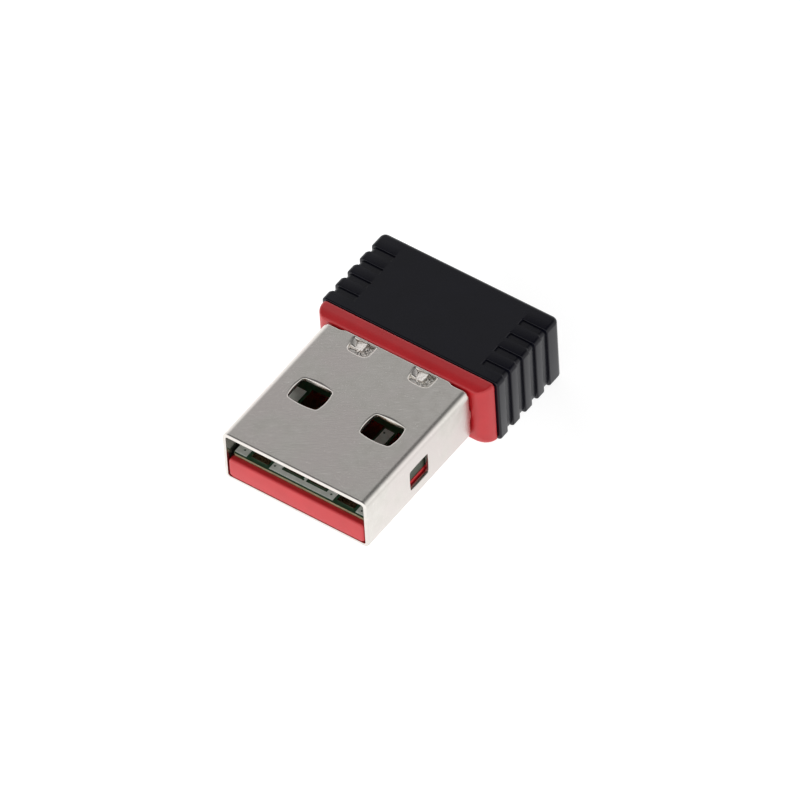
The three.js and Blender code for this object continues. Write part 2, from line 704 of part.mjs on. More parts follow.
addPiece('usb_shell', usbShell(), 'nickel');
addPiece('carrier', carrier(), 'redPlastic');
addPiece('housing_cap', housingCap(), 'blackPlastic');
addPiece('pcb', pcb(), 'boardGreen');
for (const pad of PADS) {
  addPiece(pad.name, contactPad(pad), 'contactGold');
}
addPiece('tinned_plane', tinnedPlane(), 'tin');
addPiece('tinned_strip_left', sideStrip(-1), 'tin');
addPiece('tinned_strip_right', sideStrip(1), 'tin');
addPiece('antenna_trace', antennaTrace(), 'copper');
addPiece('wifi_chip', wifiChip(), 'chipPackage');
addPiece('crystal_base', crystalPiece(0, 0, CRYSTAL.height), 'crystalCeramic');
const canSeat = CRYSTAL.height + SOLDER_GAP;
addPiece('crystal_can', crystalPiece(CRYSTAL.canInset, canSeat, CRYSTAL.canHeight), 'crystalCan');
addPiece('power_inductor', powerInductor(INDUCTOR.middle, CAP_FRONT + PART_ROW), 'inductor');
for (const part of [...decouplingCapacitors(), ...capSideParts()]) {
  addPiece(part.name, chipPart(part), part.finish);
}

export default adapter;
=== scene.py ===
"""Looks for the nano USB Wi-Fi adapter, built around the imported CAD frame.

Every piece is made in millimetres and stored in metres. +Y runs from the plug's mouth to the
closed end of the cap, +X is to the right seen from the mouth, and +Z is up.
"""

import math

import bmesh
import bpy
import numpy as np
from mathutils import Matrix, Vector, noise
from mathutils.geometry import delaunay_2d_cdt


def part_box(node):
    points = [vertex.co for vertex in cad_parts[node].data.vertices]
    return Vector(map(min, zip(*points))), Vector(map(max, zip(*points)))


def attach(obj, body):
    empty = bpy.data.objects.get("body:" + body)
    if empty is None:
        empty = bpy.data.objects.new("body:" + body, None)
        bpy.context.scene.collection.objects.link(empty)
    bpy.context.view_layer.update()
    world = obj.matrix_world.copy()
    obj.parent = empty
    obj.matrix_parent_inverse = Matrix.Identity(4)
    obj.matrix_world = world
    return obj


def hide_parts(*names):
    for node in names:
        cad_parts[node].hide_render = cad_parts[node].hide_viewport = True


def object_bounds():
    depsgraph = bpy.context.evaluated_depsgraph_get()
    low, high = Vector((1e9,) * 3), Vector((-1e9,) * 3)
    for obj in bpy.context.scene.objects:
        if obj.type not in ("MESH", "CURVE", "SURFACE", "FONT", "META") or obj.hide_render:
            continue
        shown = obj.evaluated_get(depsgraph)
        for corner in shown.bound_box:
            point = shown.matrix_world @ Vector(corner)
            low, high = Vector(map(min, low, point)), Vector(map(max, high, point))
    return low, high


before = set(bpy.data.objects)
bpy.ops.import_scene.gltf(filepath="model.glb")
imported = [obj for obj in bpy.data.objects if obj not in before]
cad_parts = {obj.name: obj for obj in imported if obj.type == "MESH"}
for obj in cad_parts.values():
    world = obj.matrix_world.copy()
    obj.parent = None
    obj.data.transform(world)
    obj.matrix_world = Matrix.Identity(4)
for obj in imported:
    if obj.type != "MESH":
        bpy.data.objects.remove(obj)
CAD_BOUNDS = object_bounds()

MM = 0.001
SIDES = (-1, 1)


# ---------------- places read from the frame


def cad_box(node):
    """Lowest and highest corner of a CAD node, in millimetres."""
    low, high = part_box(node)
    return np.array(low) / MM, np.array(high) / MM


PLUG_LOW, PLUG_HIGH = cad_box("usb_shell")
CAP_LOW, CAP_HIGH = cad_box("housing_cap")
BOARD_LOW, BOARD_HIGH = cad_box("pcb")
MOUTH = PLUG_LOW[1]

# ---------------- driving dimensions, millimetres

SHEET = 0.3
BEND_RADIUS = 0.5
LIP_RADIUS = 0.13
REAR_EDGE_RADIUS = 0.08
BURR_RADIUS = 0.03
SEAM = {"gap": 0.04, "key_start": 3.2, "key_length": 2.6, "key_offset": 0.75, "radius": 0.03, "clear": 0.12}

# Windows: bow and far_bow are how far the near and far edges curve in, and far_roll is what the
# far edge adds to the rolled radius.
TOP_WINDOW = {
    "width": 2.5,
    "length": 2.0,
    "radius": 0.28,
    "spacing": 6.0,
    "start": 5.1,
    "bow": 0.09,
    "far_bow": 0.045,
    "far_roll": 0.1,
}
SIDE_WINDOW = {
    "width": 1.85,
    "length": 2.1,
    "radius": 0.14,
    "lift": 1.15,
    "start": 5.0,
    "bow": 0.03,
    "far_bow": 0.03,
    "far_roll": 0.0,
}
WINDOW_ROLL = 0.08
LEFT_SHARE = 0.5  # how much the left edge takes of what the far edge has

# Staked tabs, and the metal inside one as seen from its left and rear edges.
TAB = {
    "width": 1.75,
    "length": 1.22,
    "spacing": 5.05,
    "rear_strip": 0.18,
    "rear_share": 0.25,
    "corner": 0.1,
    "shoulder": 0.45,
    "squareness": 3.3,
    "roll": 0.09,
    "drawn": 0.22,
    "edge_drop": 0.045,
    "wall": 0.03,
}
TAB_DRAWN = {"across": (0.2, 0.5), "along": (0.4, 0.65)}
RAMP = {"width": 0.2, "widening": 0.4, "start": 0.05, "slope": 0.12, "deepest": 0.32}
RAMP_FRONT = {"drop": 0.3, "along": (0.6, 0.85)}
MOUND = {"start": 0.25, "slope": 0.28, "tilt": 0.05, "crumple": 0.2, "least": 0.02}
MOUND_EDGE = {"across": (1.08, 1.16), "along": (0.72, 0.82), "wander": 0.5}
TORN = {"depth": 0.28, "crumple": 1.1}
CRUMPLE = {"scale": 7.0, "coarse": 0.08, "fine": 0.05, "finer": 2.6, "seed": 4.2, "seed_step": 31.0}

# Shallow reliefs in the shell's rear edge.
RELIEF = {"depth": 0.17, "inset": 1.8, "side": 1.6, "under": 4.7, "blend": 0.5}

# Detail of the shell's mesh.
RING_STEPS = 4
GUARD = {"outline": 0.02, "window": 0.05}
ROW = {"first": 0.08, "start": 0.4, "step": 0.4, "stop": 0.45, "clear": 0.1}
REAR_STEP = 0.08
REAR_BAND = 0.5
CORNER_SINE = 0.6
TAB_CREASES = (0.22, 0.19, 0.13, 0.09, 0.06, 0.03, 0.0, -0.02, -0.04)
TAB_GRID = {"step": 0.035, "inset": 0.06, "clear": 0.25}
TAB_ZONE = {"half": 4.5, "length": 1.8}
UNDERSIDE_SHARE = 0.9  # how much of the top skin's drop the bottom skin follows
CDT_TOLERANCE = 1e-7
LEAST_AREA = 1e-12

COLLAR_START = 12.17
COLLAR_LENGTH = 1.34
COLLAR_WIDTH = 14.2
COLLAR_SWEEP = 0.92
COLLAR_CROWN = {"length": 0.72, "drop": 0.17, "edge": 0.14}
COLLAR_CORNER = {"front": 0.14, "rear": 0.3, "under": 0.6}
PARTING_RADIUS = 0.14

CARRIER_WIDTH = 11.2
CARRIER_EDGE = 0.03
WALL = {"thickness": 0.45, "height": 1.77, "radius": 0.3, "edge": 0.16}
TRAY_INSET = 0.01
BRIDGE_LENGTH = 1.9
POCKET_DEPTH = 0.55
CHANNEL = {"width": 8.4, "start": 3.2, "floor": 0.26}
SPIGOT = {"length": 1.6, "wall": 0.5, "corner": 0.3, "overlap": 0.3}
FIT_GAP = 0.05
SEAT_GAP = 0.02

CAP_WALL = 0.8
CAP_CORNER = 0.3
CAP_REAR_CORNER = 0.5
CAP_EDGE_RADIUS = 0.28
CAP_EDGE_SHARE = 0.6  # how much of the rear edge's inset its corner radius loses
CAP_RIM_RADIUS = 0.12
CAP_LEAD_IN = {"length": 0.1, "inset": 0.05}
CAP_COLUMN = 2.6
CAP_REAR_ROWS = (0.2, 0.1)
GROOVE = {
    "count": 4,
    "first": 0.95,
    "pitch": 1.44,
    "width": 0.56,
    "side": 0.18,
    "face": 0.15,
    "reach": 2.05,
}
GROOVE_LEAD = {"side": 0.2, "face": 0.02}
GROOVE_EDGE = 0.08
GROOVE_END = (-0.04, 0.05)
GROOVE_REAR = (0.1, 0.012, 0.0)
GROOVE_COLUMNS = (-0.1, -0.04, -0.02, 0.0, 0.02, 0.04, 0.07, 0.14)

VIA = {"radius": 0.09, "sides": 16}
VIA_PLACES = {
    "tinned_plane": ((-2.42, 1.04), (-0.1, 1.08), (2.25, 1.04), (2.05, 7.5), (-2.1, 5.7)),
    "tinned_strip_left": ((-4.95, 1.1),),
    "tinned_strip_right": ((4.85, 0.95),),
}
CONTACT_EDGE = 0.045
PART_EDGE = 0.02

# ---------------- colours, light and camera

# Darker and paler tone of each mottled material.
TONES = {
    "nickel": ((0.63, 0.605, 0.565), (0.69, 0.665, 0.63)),
    "red": ((0.48, 0.007, 0.012), (0.54, 0.010, 0.016)),
    "black": ((0.0016, 0.0016, 0.0052), (0.0026, 0.0026, 0.0074)),
    "mask": ((0.010, 0.045, 0.018), (0.016, 0.062, 0.026)),
    # Gold's own colour darkened to brown: painted shade for the pads inside the mouth.
    "gold": ((0.20, 0.125, 0.07), (0.30, 0.20, 0.115)),
    "tin": ((0.58, 0.62, 0.57), (0.72, 0.76, 0.71)),
    "chip": ((0.014, 0.014, 0.016), (0.026, 0.026, 0.028)),
    "ceramic": ((0.45, 0.35, 0.24), (0.55, 0.44, 0.31)),
    "ferrite": ((0.045, 0.045, 0.05), (0.07, 0.07, 0.075)),
    "lid": ((0.62, 0.59, 0.53), (0.72, 0.69, 0.63)),
    "masked_copper": ((0.03, 0.12, 0.05), (0.05, 0.17, 0.07)),
}
WARM_NICKEL = (0.67, 0.625, 0.60)
FLECK_TONE = (0.88, 0.86, 0.82)
SPECK_TONE = (0.82, 0.80, 0.77)
FLECK_ANGLE = -35.0
LAMINATE = [(0.3, (0.24, 0.21, 0.12)), (0.55, (0.42, 0.36, 0.22)), (0.75, (0.52, 0.46, 0.31))]
# Near-black green painted on the board's left and right edges: painted shade for the shadow they lie in
# inside the shell.
PAINTED_SHADE_BOARD_SIDE = (0.05, 0.06, 0.04)
# Pale gold painted on contact faces that look to the front: a painted highlight.
FRONT_HIGHLIGHT_GOLD = (0.90, 0.84, 0.74)
TINNED_END = (0.62, 0.62, 0.60)
END_BANDS = [(0.0, 1.0), (0.25, 0.0), (0.75, 1.0)]
COMPONENT_TONES = {
    "rf_matching_inductor": (0.08, 0.08, 0.09),
    "rf_matching_capacitor": (0.38, 0.30, 0.22),
    "bulk_capacitor": (0.40, 0.25, 0.14),
    "decoupling_capacitor": (0.42, 0.27, 0.16),
    "bias_resistor": (0.02, 0.02, 0.022),
}
COMPONENT_SHADE = 0.7

# A distant camera with a narrow field, in metres and degrees. field is the width it sees at its
# aim, and right and up move it off the aim, in millimetres.
CAMERA = {
    "azimuth": 38.06,
    "elevation": 48.30,
    "roll": -3.757,
    "distance": 1.0,
    "field": 54.1565,
    "right": 2.446,
    "up": 1.131,
    "aim_from_mouth": 8.0,
    "aim_above_plug": 2.2,
    "sensor": 36.0,
    "clip": (0.05, 10.0),
}
# A white tent with a dim opening overhead, as (sine of the elevation, radiance).
TENT = ((0.0, 1.3), (0.45, 1.2), (0.74, 0.55), (0.84, 0.1), (1.0, 0.06))
FRONT_CARD = 0.15  # what the front of the tent adds
FLOOR = {"half": 400.0, "gap": 0.02, "reach": 12.0, "tone": 0.3, "roughness": 0.9}
FLOOR_GLOW = (0.84, 1.2)
FLOOR_FRONT = (-0.6, -0.8, 0.0)


# ---------------- mesh tools


def new_mesh_object(name, points, faces, scale=MM):
    mesh = bpy.data.meshes.new(name)
    mesh.from_pydata((np.asarray(points, float) * scale).tolist(), [], [list(f) for f in faces])
    obj = bpy.data.objects.new(name, mesh)
    bpy.context.scene.collection.objects.link(obj)
    build = bmesh.new()
    build.from_mesh(mesh)
    bmesh.ops.recalc_face_normals(build, faces=build.faces)
    build.to_mesh(mesh)
    build.free()
    return obj


def finish_piece(obj, material, nodes, smooth_angle=32.0):
    """Shades a mesh smooth below an angle, dresses it, hangs it under the root body and hides the CAD nodes
    it stands for.
    """
    obj.data.shade_smooth()
    obj.data.set_sharp_from_angle(angle=math.radians(smooth_angle))
    obj.data.materials.clear()
    obj.data.materials.append(material)
    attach(obj, "root")
    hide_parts(*nodes)
    return obj


def evaluated(obj):
    """Applies an object's modifiers to its mesh."""
    bpy.context.view_layer.update()
    depsgraph = bpy.context.evaluated_depsgraph_get()
    mesh = bpy.data.meshes.new_from_object(obj.evaluated_get(depsgraph))
    obj.modifiers.clear()
    obj.data = mesh
    return obj


def boolean(target, tool, operation):
    step = target.modifiers.new(operation, "BOOLEAN")
    step.object = tool
    step.operation = operation
    step.solver = "EXACT"
    evaluated(target)
    bpy.data.objects.remove(tool)
    return target


def soft_edges(obj, width, angle=30.0):
    """Rounds the edges that are sharper than an angle, with a modifier."""
    step = obj.modifiers.new("edge", "BEVEL")
    step.width = width
    step.segments = 2
    step.limit_method = "ANGLE"
    step.angle_limit = math.radians(angle)
    step.use_clamp_overlap = True


def to_metres(obj):
    """Scales a mesh that was made in millimetres."""
    for vertex in obj.data.vertices:
        vertex.co *= MM


def loft(rings):
    """Closed skin over rings of equal length, with a flat face at each end."""
    count = len(rings[0])
    points = np.vstack(rings)
    faces = []
    for level in range(len(rings) - 1):
        for i in range(count):
            j = (i + 1) % count
            a, b = level * count, (level + 1) * count
            faces.append((a + i, a + j, b + j, b + i))
    last = (len(rings) - 1) * count
    faces.append(tuple(range(count)))
    faces.append(tuple(last + i for i in range(count)))
    return points, faces


def arc(steps, start, end):
    return np.radians(np.linspace(start, end, steps + 1))


def rise(value, start, end):
    """Smooth step from 0 at start to 1 at end."""
    t = np.clip((value - start) / (end - start), 0, 1)
    return t * t * (3 - 2 * t)


def rounded_loop(centre, size, radius, corner_steps, edge_steps):
    """A rounded rectangle, counter-clockwise: points, outward directions, and how near an edge's middle."""
    half = np.array(size) / 2 - radius
    corners = [np.array(signs) * half for signs in ((1, 1), (-1, 1), (-1, -1), (1, -1))]
    points, normals, along = [], [], []
    for quarter, corner in enumerate(corners):
        start = np.array(centre) + corner
        for angle in arc(corner_steps, quarter * 90, quarter * 90 + 90):
            direction = np.array([math.cos(angle), math.sin(angle)])
            points.append(start + radius * direction)
            normals.append(direction)
            along.append(0.0)
        direction = np.array(((0.0, 1.0), (-1.0, 0.0), (0.0, -1.0), (1.0, 0.0))[quarter])
        after = corners[(quarter + 1) % 4]
        for step in range(1, edge_steps):
            share = step / edge_steps
            points.append(start + (after - corner) * share + radius * direction)
            normals.append(direction)
            along.append(4 * share * (1 - share))
    return np.array(points), np.array(normals), np.array(along)


def inside_loops(points, loops):
    """Even-odd test of points against closed loops."""
    state = np.zeros(len(points), bool)
    for loop in loops:
        a, b = loop, np.roll(loop, -1, axis=0)
        for (ax, ay), (bx, by) in zip(a, b):
            if ay == by:
                continue
            spans = (ay > points[:, 1]) != (by > points[:, 1])
            crossing = ax + (points[:, 1] - ay) * (bx - ax) / (by - ay)
            state ^= spans & (points[:, 0] < crossing)
    return state


class Edge:
    """One closed edge of a sheet: its points, and how its rounding reaches into the sheet."""

    def __init__(self, points, inward, top_radius, bottom_radius, bow, guard):
        self.points = points
        self.inward = inward
        self.top = top_radius
        self.bottom = np.broadcast_to(np.asarray(bottom_radius, float), (len(points),))
        self.bow = bow  # moves the top skin only
        self.guard = guard

    def guard_line(self):
        """The line just inside the rounding, where the level sheet starts."""
        return self.points + self.inward * (self.top + self.bow + self.guard)[:, None]


def border_rings(edge, thickness):
    """Rings that round one edge over: flat points and depths, of the top skin then the bottom."""
    rings = []
    for phi in arc(RING_STEPS, 0, 90):
        out, down = 1 - math.cos(phi), 1 - math.sin(phi)
        rings.append((
            edge.points + edge.inward * (edge.top * out + edge.bow)[:, None],
            edge.top * down,
            edge.points + edge.inward * (edge.bottom * out)[:, None],
            thickness - edge.bottom * down,
        ))
    guard = edge.guard_line()
    rings.append((guard, np.zeros(len(guard)), guard, np.full(len(guard), thickness)))
    return rings


def border_faces(first, count):
    """Top faces, bottom faces and wall edges of a border whose vertices start at first."""
    top, low = [], []
    for level in range(RING_STEPS + 1):
        a, b = first + level * count, first + (level + 1) * count
        for i in range(count):
            j = (i + 1) % count
            top.append((a + i, a + j, b + j, b + i))
            low.append((a + j, a + i, b + i, b + j))
    return top, low, [(first + (i + 1) % count, first + i) for i in range(count)]


def closed_chain(first, count):
    return [(first + i, first + (i + 1) % count) for i in range(count)]


def filled(guards, interior, creases):
    """Triangles between the guard lines, through the interior points and along the creases."""
    flat = np.vstack([*guards, interior, *creases])
    chains, first = [], 0
    for loop in guards:
        chains += closed_chain(first, len(loop))
        first += len(loop)
    first += len(interior)
    for crease in creases:
        chains += closed_chain(first, len(crease))
        first += len(crease)
    result = delaunay_2d_cdt([Vector(p) for p in flat], chains, [], 0, CDT_TOLERANCE)
    origin = [ids[0] for ids in result[3]]
    triangles = np.array([[origin[v] for v in face] for face in result[2]])
    corners = flat[triangles]
    area = np.cross(corners[:, 1] - corners[:, 0], corners[:, 2] - corners[:, 0])
    return triangles[inside_loops(corners.mean(axis=1), guards) & (np.abs(area) > LEAST_AREA)]


def sheet_mesh(edges, interior, creases, thickness, place, height):
    """A sheet with rounded edges and holes, as closed mesh data.

    edges[0] is the outline and the rest are holes. interior holds free points and creases are
    closed chains of points that the triangles follow. place maps flat points and their depths
    to space, and height gives the depths of the interior's top and bottom skins.
    """
    rings, faces_top, faces_low, walls, owner = [], [], [], [], []
    start = 0
    for edge in edges:
        count = len(edge.points)
        rings += border_rings(edge, thickness)
        top, low, wall = border_faces(start, count)
        faces_top += top
        faces_low += low
        walls += wall
        start += (RING_STEPS + 2) * count
        owner += range(start - count, start)
    free = np.vstack([interior, *creases])
    owner += range(start, start + len(free))
    top, low = height(free)
    rings.append((free, top, free, low))
    guards = [edge.guard_line() for edge in edges]
    for a, b, c in np.array(owner)[filled(guards, interior, creases)]:
        faces_top.append((a, b, c))
        faces_low.append((a, c, b))

    top_flat, top_depth, low_flat, low_depth = (np.concatenate(part) for part in zip(*rings))
    tops, lows = place(top_flat, top_depth), place(low_flat, low_depth)
    total = len(tops)
    faces = faces_top + [tuple(total + v for v in face) for face in faces_low]
    faces += [(a, b, total + b, total + a) for a, b in walls]
    return np.vstack([tops, lows]), faces


# ---------------- node tools for materials


class Nodes:
    """Short names for building one material's node tree."""

    def __init__(self, name):
        self.material = bpy.data.materials.new(name)
        self.material.use_nodes = True
        self.tree = self.material.node_tree
        self.shader = self.tree.nodes["Principled BSDF"]
        self.place = self.add("ShaderNodeTexCoord").outputs["Object"]

    def add(self, kind, **settings):
        node = self.tree.nodes.new(kind)
        for key, value in settings.items():
            setattr(node, key, value)
        return node

    def link(self, source, target):
        self.tree.links.new(source, target)

    def constants(self, **values):
        """Sets the shader's own sockets, by name."""
        for key, value in values.items():
            self.shader.inputs[key.replace("_", " ")].default_value = value

    def surface(self, colour, roughness, normal, **constants):
        """Links a material's colour, roughness and normal, and gives the finished material."""
        for socket, source in (("Base Color", colour), ("Roughness", roughness), ("Normal", normal)):
            self.link(source, self.shader.inputs[socket])
        self.constants(**constants)
        return self.material

    def noise(self, scale, detail=4.0, stretch=(1, 1, 1), turn=0.0):
        """Fractal noise whose scale counts features per millimetre, turned about Z then stretched."""
        turned = self.add("ShaderNodeVectorRotate", rotation_type="Z_AXIS")
        turned.inputs["Angle"].default_value = math.radians(turn)
        self.link(self.place, turned.inputs["Vector"])
        mapping = self.add("ShaderNodeMapping")
        mapping.inputs["Scale"].default_value = stretch
        self.link(turned.outputs["Vector"], mapping.inputs["Vector"])
        node = self.add("ShaderNodeTexNoise")
        node.inputs["Scale"].default_value = scale / MM
        node.inputs["Detail"].default_value = detail
        node.inputs["Roughness"].default_value = 0.55
        self.link(mapping.outputs["Vector"], node.inputs["Vector"])
        return node.outputs["Fac"]

    def cells(self, scale):
        """Distance to the nearest of scattered points."""
        node = self.add("ShaderNodeTexVoronoi", feature="F1")
        node.inputs["Scale"].default_value = scale / MM
        self.link(self.place, node.inputs["Vector"])
        return node.outputs["Distance"]

    def ramp(self, value, stops, interpolation="LINEAR"):
        """Maps a value through (position, colour or grey) stops."""
        node = self.add("ShaderNodeValToRGB")
        node.color_ramp.interpolation = interpolation
        while len(node.color_ramp.elements) < len(stops):
            node.color_ramp.elements.new(1.0)
        for element, (position, colour) in zip(node.color_ramp.elements, stops):
            element.position = position
            shade = (colour,) * 3 if isinstance(colour, (int, float)) else colour
            element.color = (*shade, 1)
        self.link(value, node.inputs["Fac"])
        return node.outputs["Color"]

    def mottle(self, value, tones, low=0.3):
        """Maps a noise to the darker and the paler tone of a named material."""
        dark, pale = TONES[tones]
        return self.ramp(value, [(low, dark), (1 - low, pale)])

    def spread(self, value, low, high):
        """Maps 0..1 to a range of plain numbers."""
        node = self.add("ShaderNodeMapRange")
        node.inputs["To Min"].default_value = low
        node.inputs["To Max"].default_value = high
        self.link(value, node.inputs["Value"])
        return node.outputs["Result"]

    def math(self, operation, first, second):
        node = self.add("ShaderNodeMath", operation=operation)
        for socket, value in zip(node.inputs, (first, second)):
            if isinstance(value, (int, float)):
                socket.default_value = value
            else:
                self.link(value, socket)
        return node.outputs["Value"]

    def mix(self, factor, first, second):
        node = self.add("ShaderNodeMix", data_type="RGBA")
        pairs = ((node.inputs[0], factor), (node.inputs[6], first), (node.inputs[7], second))
        for socket, value in pairs:
            if isinstance(value, (int, float)):
                socket.default_value = value
            elif isinstance(value, tuple):
                socket.default_value = value + (1,)
            else:
                self.link(value, socket)
        return node.outputs[2]

    def bump(self, height, distance_mm, under=None):
        node = self.add("ShaderNodeBump")
        node.inputs["Strength"].default_value = 1.0
        node.inputs["Distance"].default_value = distance_mm * MM
        self.link(height, node.inputs["Height"])
        if under is not None:
            self.link(under, node.inputs["Normal"])
        return node.outputs["Normal"]

    def facing(self, axis):
        """The surface's own normal along an axis."""
        geometry = self.add("ShaderNodeNewGeometry")
        node = self.add("ShaderNodeSeparateXYZ")
        self.link(geometry.outputs["Normal"], node.inputs["Vector"])
        return node.outputs[axis]


# ---------------- materials


def nickel_material():
    """Satin nickel over rolled steel: fine grain, short drawn flecks, a faint warm cloud, specks."""
    n = Nodes("nickel_plating")
    grain = n.noise(16.0, detail=6.0)
    flecks = n.noise(5.0, detail=3.0, turn=FLECK_ANGLE, stretch=(0.3, 1.4, 1.0))
    rolled = n.noise(1.1)
    cloud = n.noise(0.28, detail=2.0)
    specks = n.ramp(n.cells(2.6), [(0.0, 1.0), (0.05, 1.0), (0.09, 0.0)])
    warm = n.mix(n.ramp(cloud, [(0.42, 0.0), (0.6, 1.0)]), n.mottle(rolled, "nickel"), WARM_NICKEL)
    pale = n.mix(n.ramp(flecks, [(0.62, 0.0), (0.72, 0.35)]), warm, FLECK_TONE)
    colour = n.mix(n.math("MULTIPLY", specks, 0.15), pale, SPECK_TONE)
    normal = n.bump(flecks, 0.0022, under=n.bump(rolled, 0.002))
    return n.surface(colour, n.spread(grain, 0.22, 0.3), normal, Metallic=1.0)


def red_material():
    """Satin moulded red plastic with a fine spark-eroded texture."""
    n = Nodes("red_moulding")
    grain = n.noise(14.0, detail=5.0)
    colour = n.mottle(n.noise(0.6, detail=3.0), "red")
    return n.surface(colour, n.spread(grain, 0.34, 0.5), n.bump(grain, 0.002), Specular_IOR_Level=0.6)


def black_material():
    """Satin moulded black plastic with a slight blue cast."""
    n = Nodes("black_moulding")
    grain = n.noise(12.0, detail=5.0)
    colour = n.mottle(n.noise(0.5, detail=3.0), "black")
    return n.surface(colour, n.spread(grain, 0.2, 0.3), n.bump(grain, 0.0022), Specular_IOR_Level=0.28)


def board_material():
    """Green solder mask on the faces, tan laminate with glass fibres on the front and rear, and a near-black
    painted shade on the left and right edges, which lie in the shell's shadow.
    """
    n = Nodes("circuit_board")
    fibres = n.noise(7.0, stretch=(0.35, 0.35, 3.0))
    weave = n.noise(3.0, detail=3.0)
    turned = [(0.6, 0.0), (0.8, 1.0)]
    level = n.math("ABSOLUTE", n.facing("Z"), 0.0)
    across = n.math("ABSOLUTE", n.facing("X"), 0.0)
    # Edges that face left or right take the painted shade instead of the laminate.
    edges = n.mix(n.ramp(across, turned), n.ramp(fibres, LAMINATE), PAINTED_SHADE_BOARD_SIDE)
    colour = n.mix(n.ramp(level, turned), edges, n.mottle(weave, "mask", low=0.35))
    return n.surface(colour, n.spread(weave, 0.35, 0.6), n.bump(fibres, 0.01))


def gold_material():
    """Gold plating darkened to a brown as painted shade for the dark inside of the mouth, worn along the
    plug, with a painted highlight on faces that look to the front.
    """
    n = Nodes("contact_gold")
    wear = n.noise(3.0, stretch=(1.0, 0.2, 1.0))
    # Faces that look to the front get the pale gold as a painted highlight.
    front_highlight = n.ramp(n.math("MULTIPLY", n.facing("Y"), -1.0), [(0.3, 0.0), (0.6, 1.0)])
    colour = n.mix(front_highlight, n.mottle(wear, "gold"), FRONT_HIGHLIGHT_GOLD)
    return n.surface(colour, n.spread(wear, 0.16, 0.3), n.bump(wear, 0.002), Metallic=1.0)


def tin_material():
    """Levelled tin over copper: grey with a green cast, slightly lumpy."""
    n = Nodes("tinned_copper")
    lumps = n.noise(1.8, detail=3.0)
    return n.surface(n.mottle(lumps, "tin"), n.spread(lumps, 0.45, 0.6), n.bump(lumps, 0.008), Metallic=0.25)


def chip_component_material(name, body, axis):
    """A ceramic or glazed body between two tinned ends, which lie apart along an axis."""
    n = Nodes(name)
    grain = n.noise(10.0, detail=3.0)
    split = n.add("ShaderNodeSeparateXYZ")
    n.link(n.add("ShaderNodeTexCoord").outputs["Generated"], split.inputs["Vector"])
    ends = n.ramp(split.outputs[axis], END_BANDS, interpolation="CONSTANT")
    ceramic = n.mix(grain, body, tuple(COMPONENT_SHADE * c for c in body))
    n.link(ends, n.shader.inputs["Metallic"])
    return n.surface(n.mix(ends, ceramic, TINNED_END), n.spread(grain, 0.3, 0.6), n.bump(grain, 0.003))


def chip_material():
    """Matt epoxy moulding compound with a fine sandy texture."""
    n = Nodes("chip_moulding")
    sand = n.noise(18.0, detail=5.0)
    return n.surface(n.mottle(sand, "chip"), n.spread(sand, 0.5, 0.75), n.bump(sand, 0.005))


def ceramic_material(name, tones):
    """Unglazed ceramic or ferrite: grainy and matt, mottled between two tones."""
    n = Nodes(name)
    grain = n.noise(12.0, detail=5.0)
    colour = n.mottle(n.noise(2.5, detail=3.0), tones)
    return n.surface(colour, n.spread(grain, 0.45, 0.8), n.bump(grain, 0.006))


def lid_material():
    """Rolled satin metal of the crystal's lid."""
    n = Nodes("crystal_lid")
    rolled = n.noise(6.0, stretch=(0.2, 1.0, 1.0))
    colour = n.mottle(rolled, "lid")
    return n.surface(colour, n.spread(rolled, 0.2, 0.35), n.bump(rolled, 0.002), Metallic=1.0)


def masked_copper_material():
    """Copper under green solder mask: a lighter green than the bare board."""
    n = Nodes("masked_copper")
    flow = n.noise(4.0, detail=3.0)
    return n.surface(n.mottle(flow, "masked_copper"), n.spread(flow, 0.25, 0.45), n.bump(flow, 0.004))


# ---------------- plug shell


class ShellFold:
    """Folds the flat pattern of the shell. s runs round the outside from the top's middle."""

    def __init__(self):
        self.half_width = (PLUG_HIGH[0] - PLUG_LOW[0]) / 2
        self.height = PLUG_HIGH[2] - PLUG_LOW[2]
        self.length = PLUG_HIGH[1] - PLUG_LOW[1]
        self.flat = self.half_width - BEND_RADIUS
        self.bend = BEND_RADIUS * math.pi / 2
        self.side = self.height - 2 * BEND_RADIUS
        self.half_girth = 2 * self.flat + 2 * self.bend + self.side

    def side_position(self, above_bottom):
        """s of a point on the right side at a height above the plug's underside."""
        return self.flat + self.bend + (self.height - BEND_RADIUS - above_bottom)

    def place(self, flat, depth):
        """Positions in space of flat points at depths below the outside."""
        s, y = flat[:, 0], flat[:, 1]
        sign, u = np.where(s < 0, -1.0, 1.0), np.abs(s)
        ends = np.cumsum([self.flat, self.bend, self.side, self.bend])
        stage = np.searchsorted(ends, u, side="left")
        x, z, nx, nz = (np.zeros(len(u)) for _ in range(4))
        for number in range(5):
            m = stage == number
            v = u[m] - (ends[number - 1] if number else 0)
            if number == 0:
                x[m], z[m], nz[m] = v, self.height, 1.0
            elif number == 1:
                turn = v / BEND_RADIUS
                nx[m], nz[m] = np.sin(turn), np.cos(turn)
                x[m] = self.flat + BEND_RADIUS * nx[m]
                z[m] = self.height - BEND_RADIUS + BEND_RADIUS * nz[m]
            elif number == 2:
                x[m], z[m], nx[m] = self.half_width, self.height - BEND_RADIUS - v, 1.0
            elif number == 3:
                turn = v / BEND_RADIUS
                nx[m], nz[m] = np.cos(turn), -np.sin(turn)
                x[m] = self.flat + BEND_RADIUS * nx[m]
                z[m] = BEND_RADIUS + BEND_RADIUS * nz[m]
            else:
                x[m], z[m], nz[m] = self.flat - v, 0.0, -1.0
        x, nx = x * sign, nx * sign
        return np.column_stack([x - nx * depth, MOUTH + y, PLUG_LOW[2] + z - nz * depth])


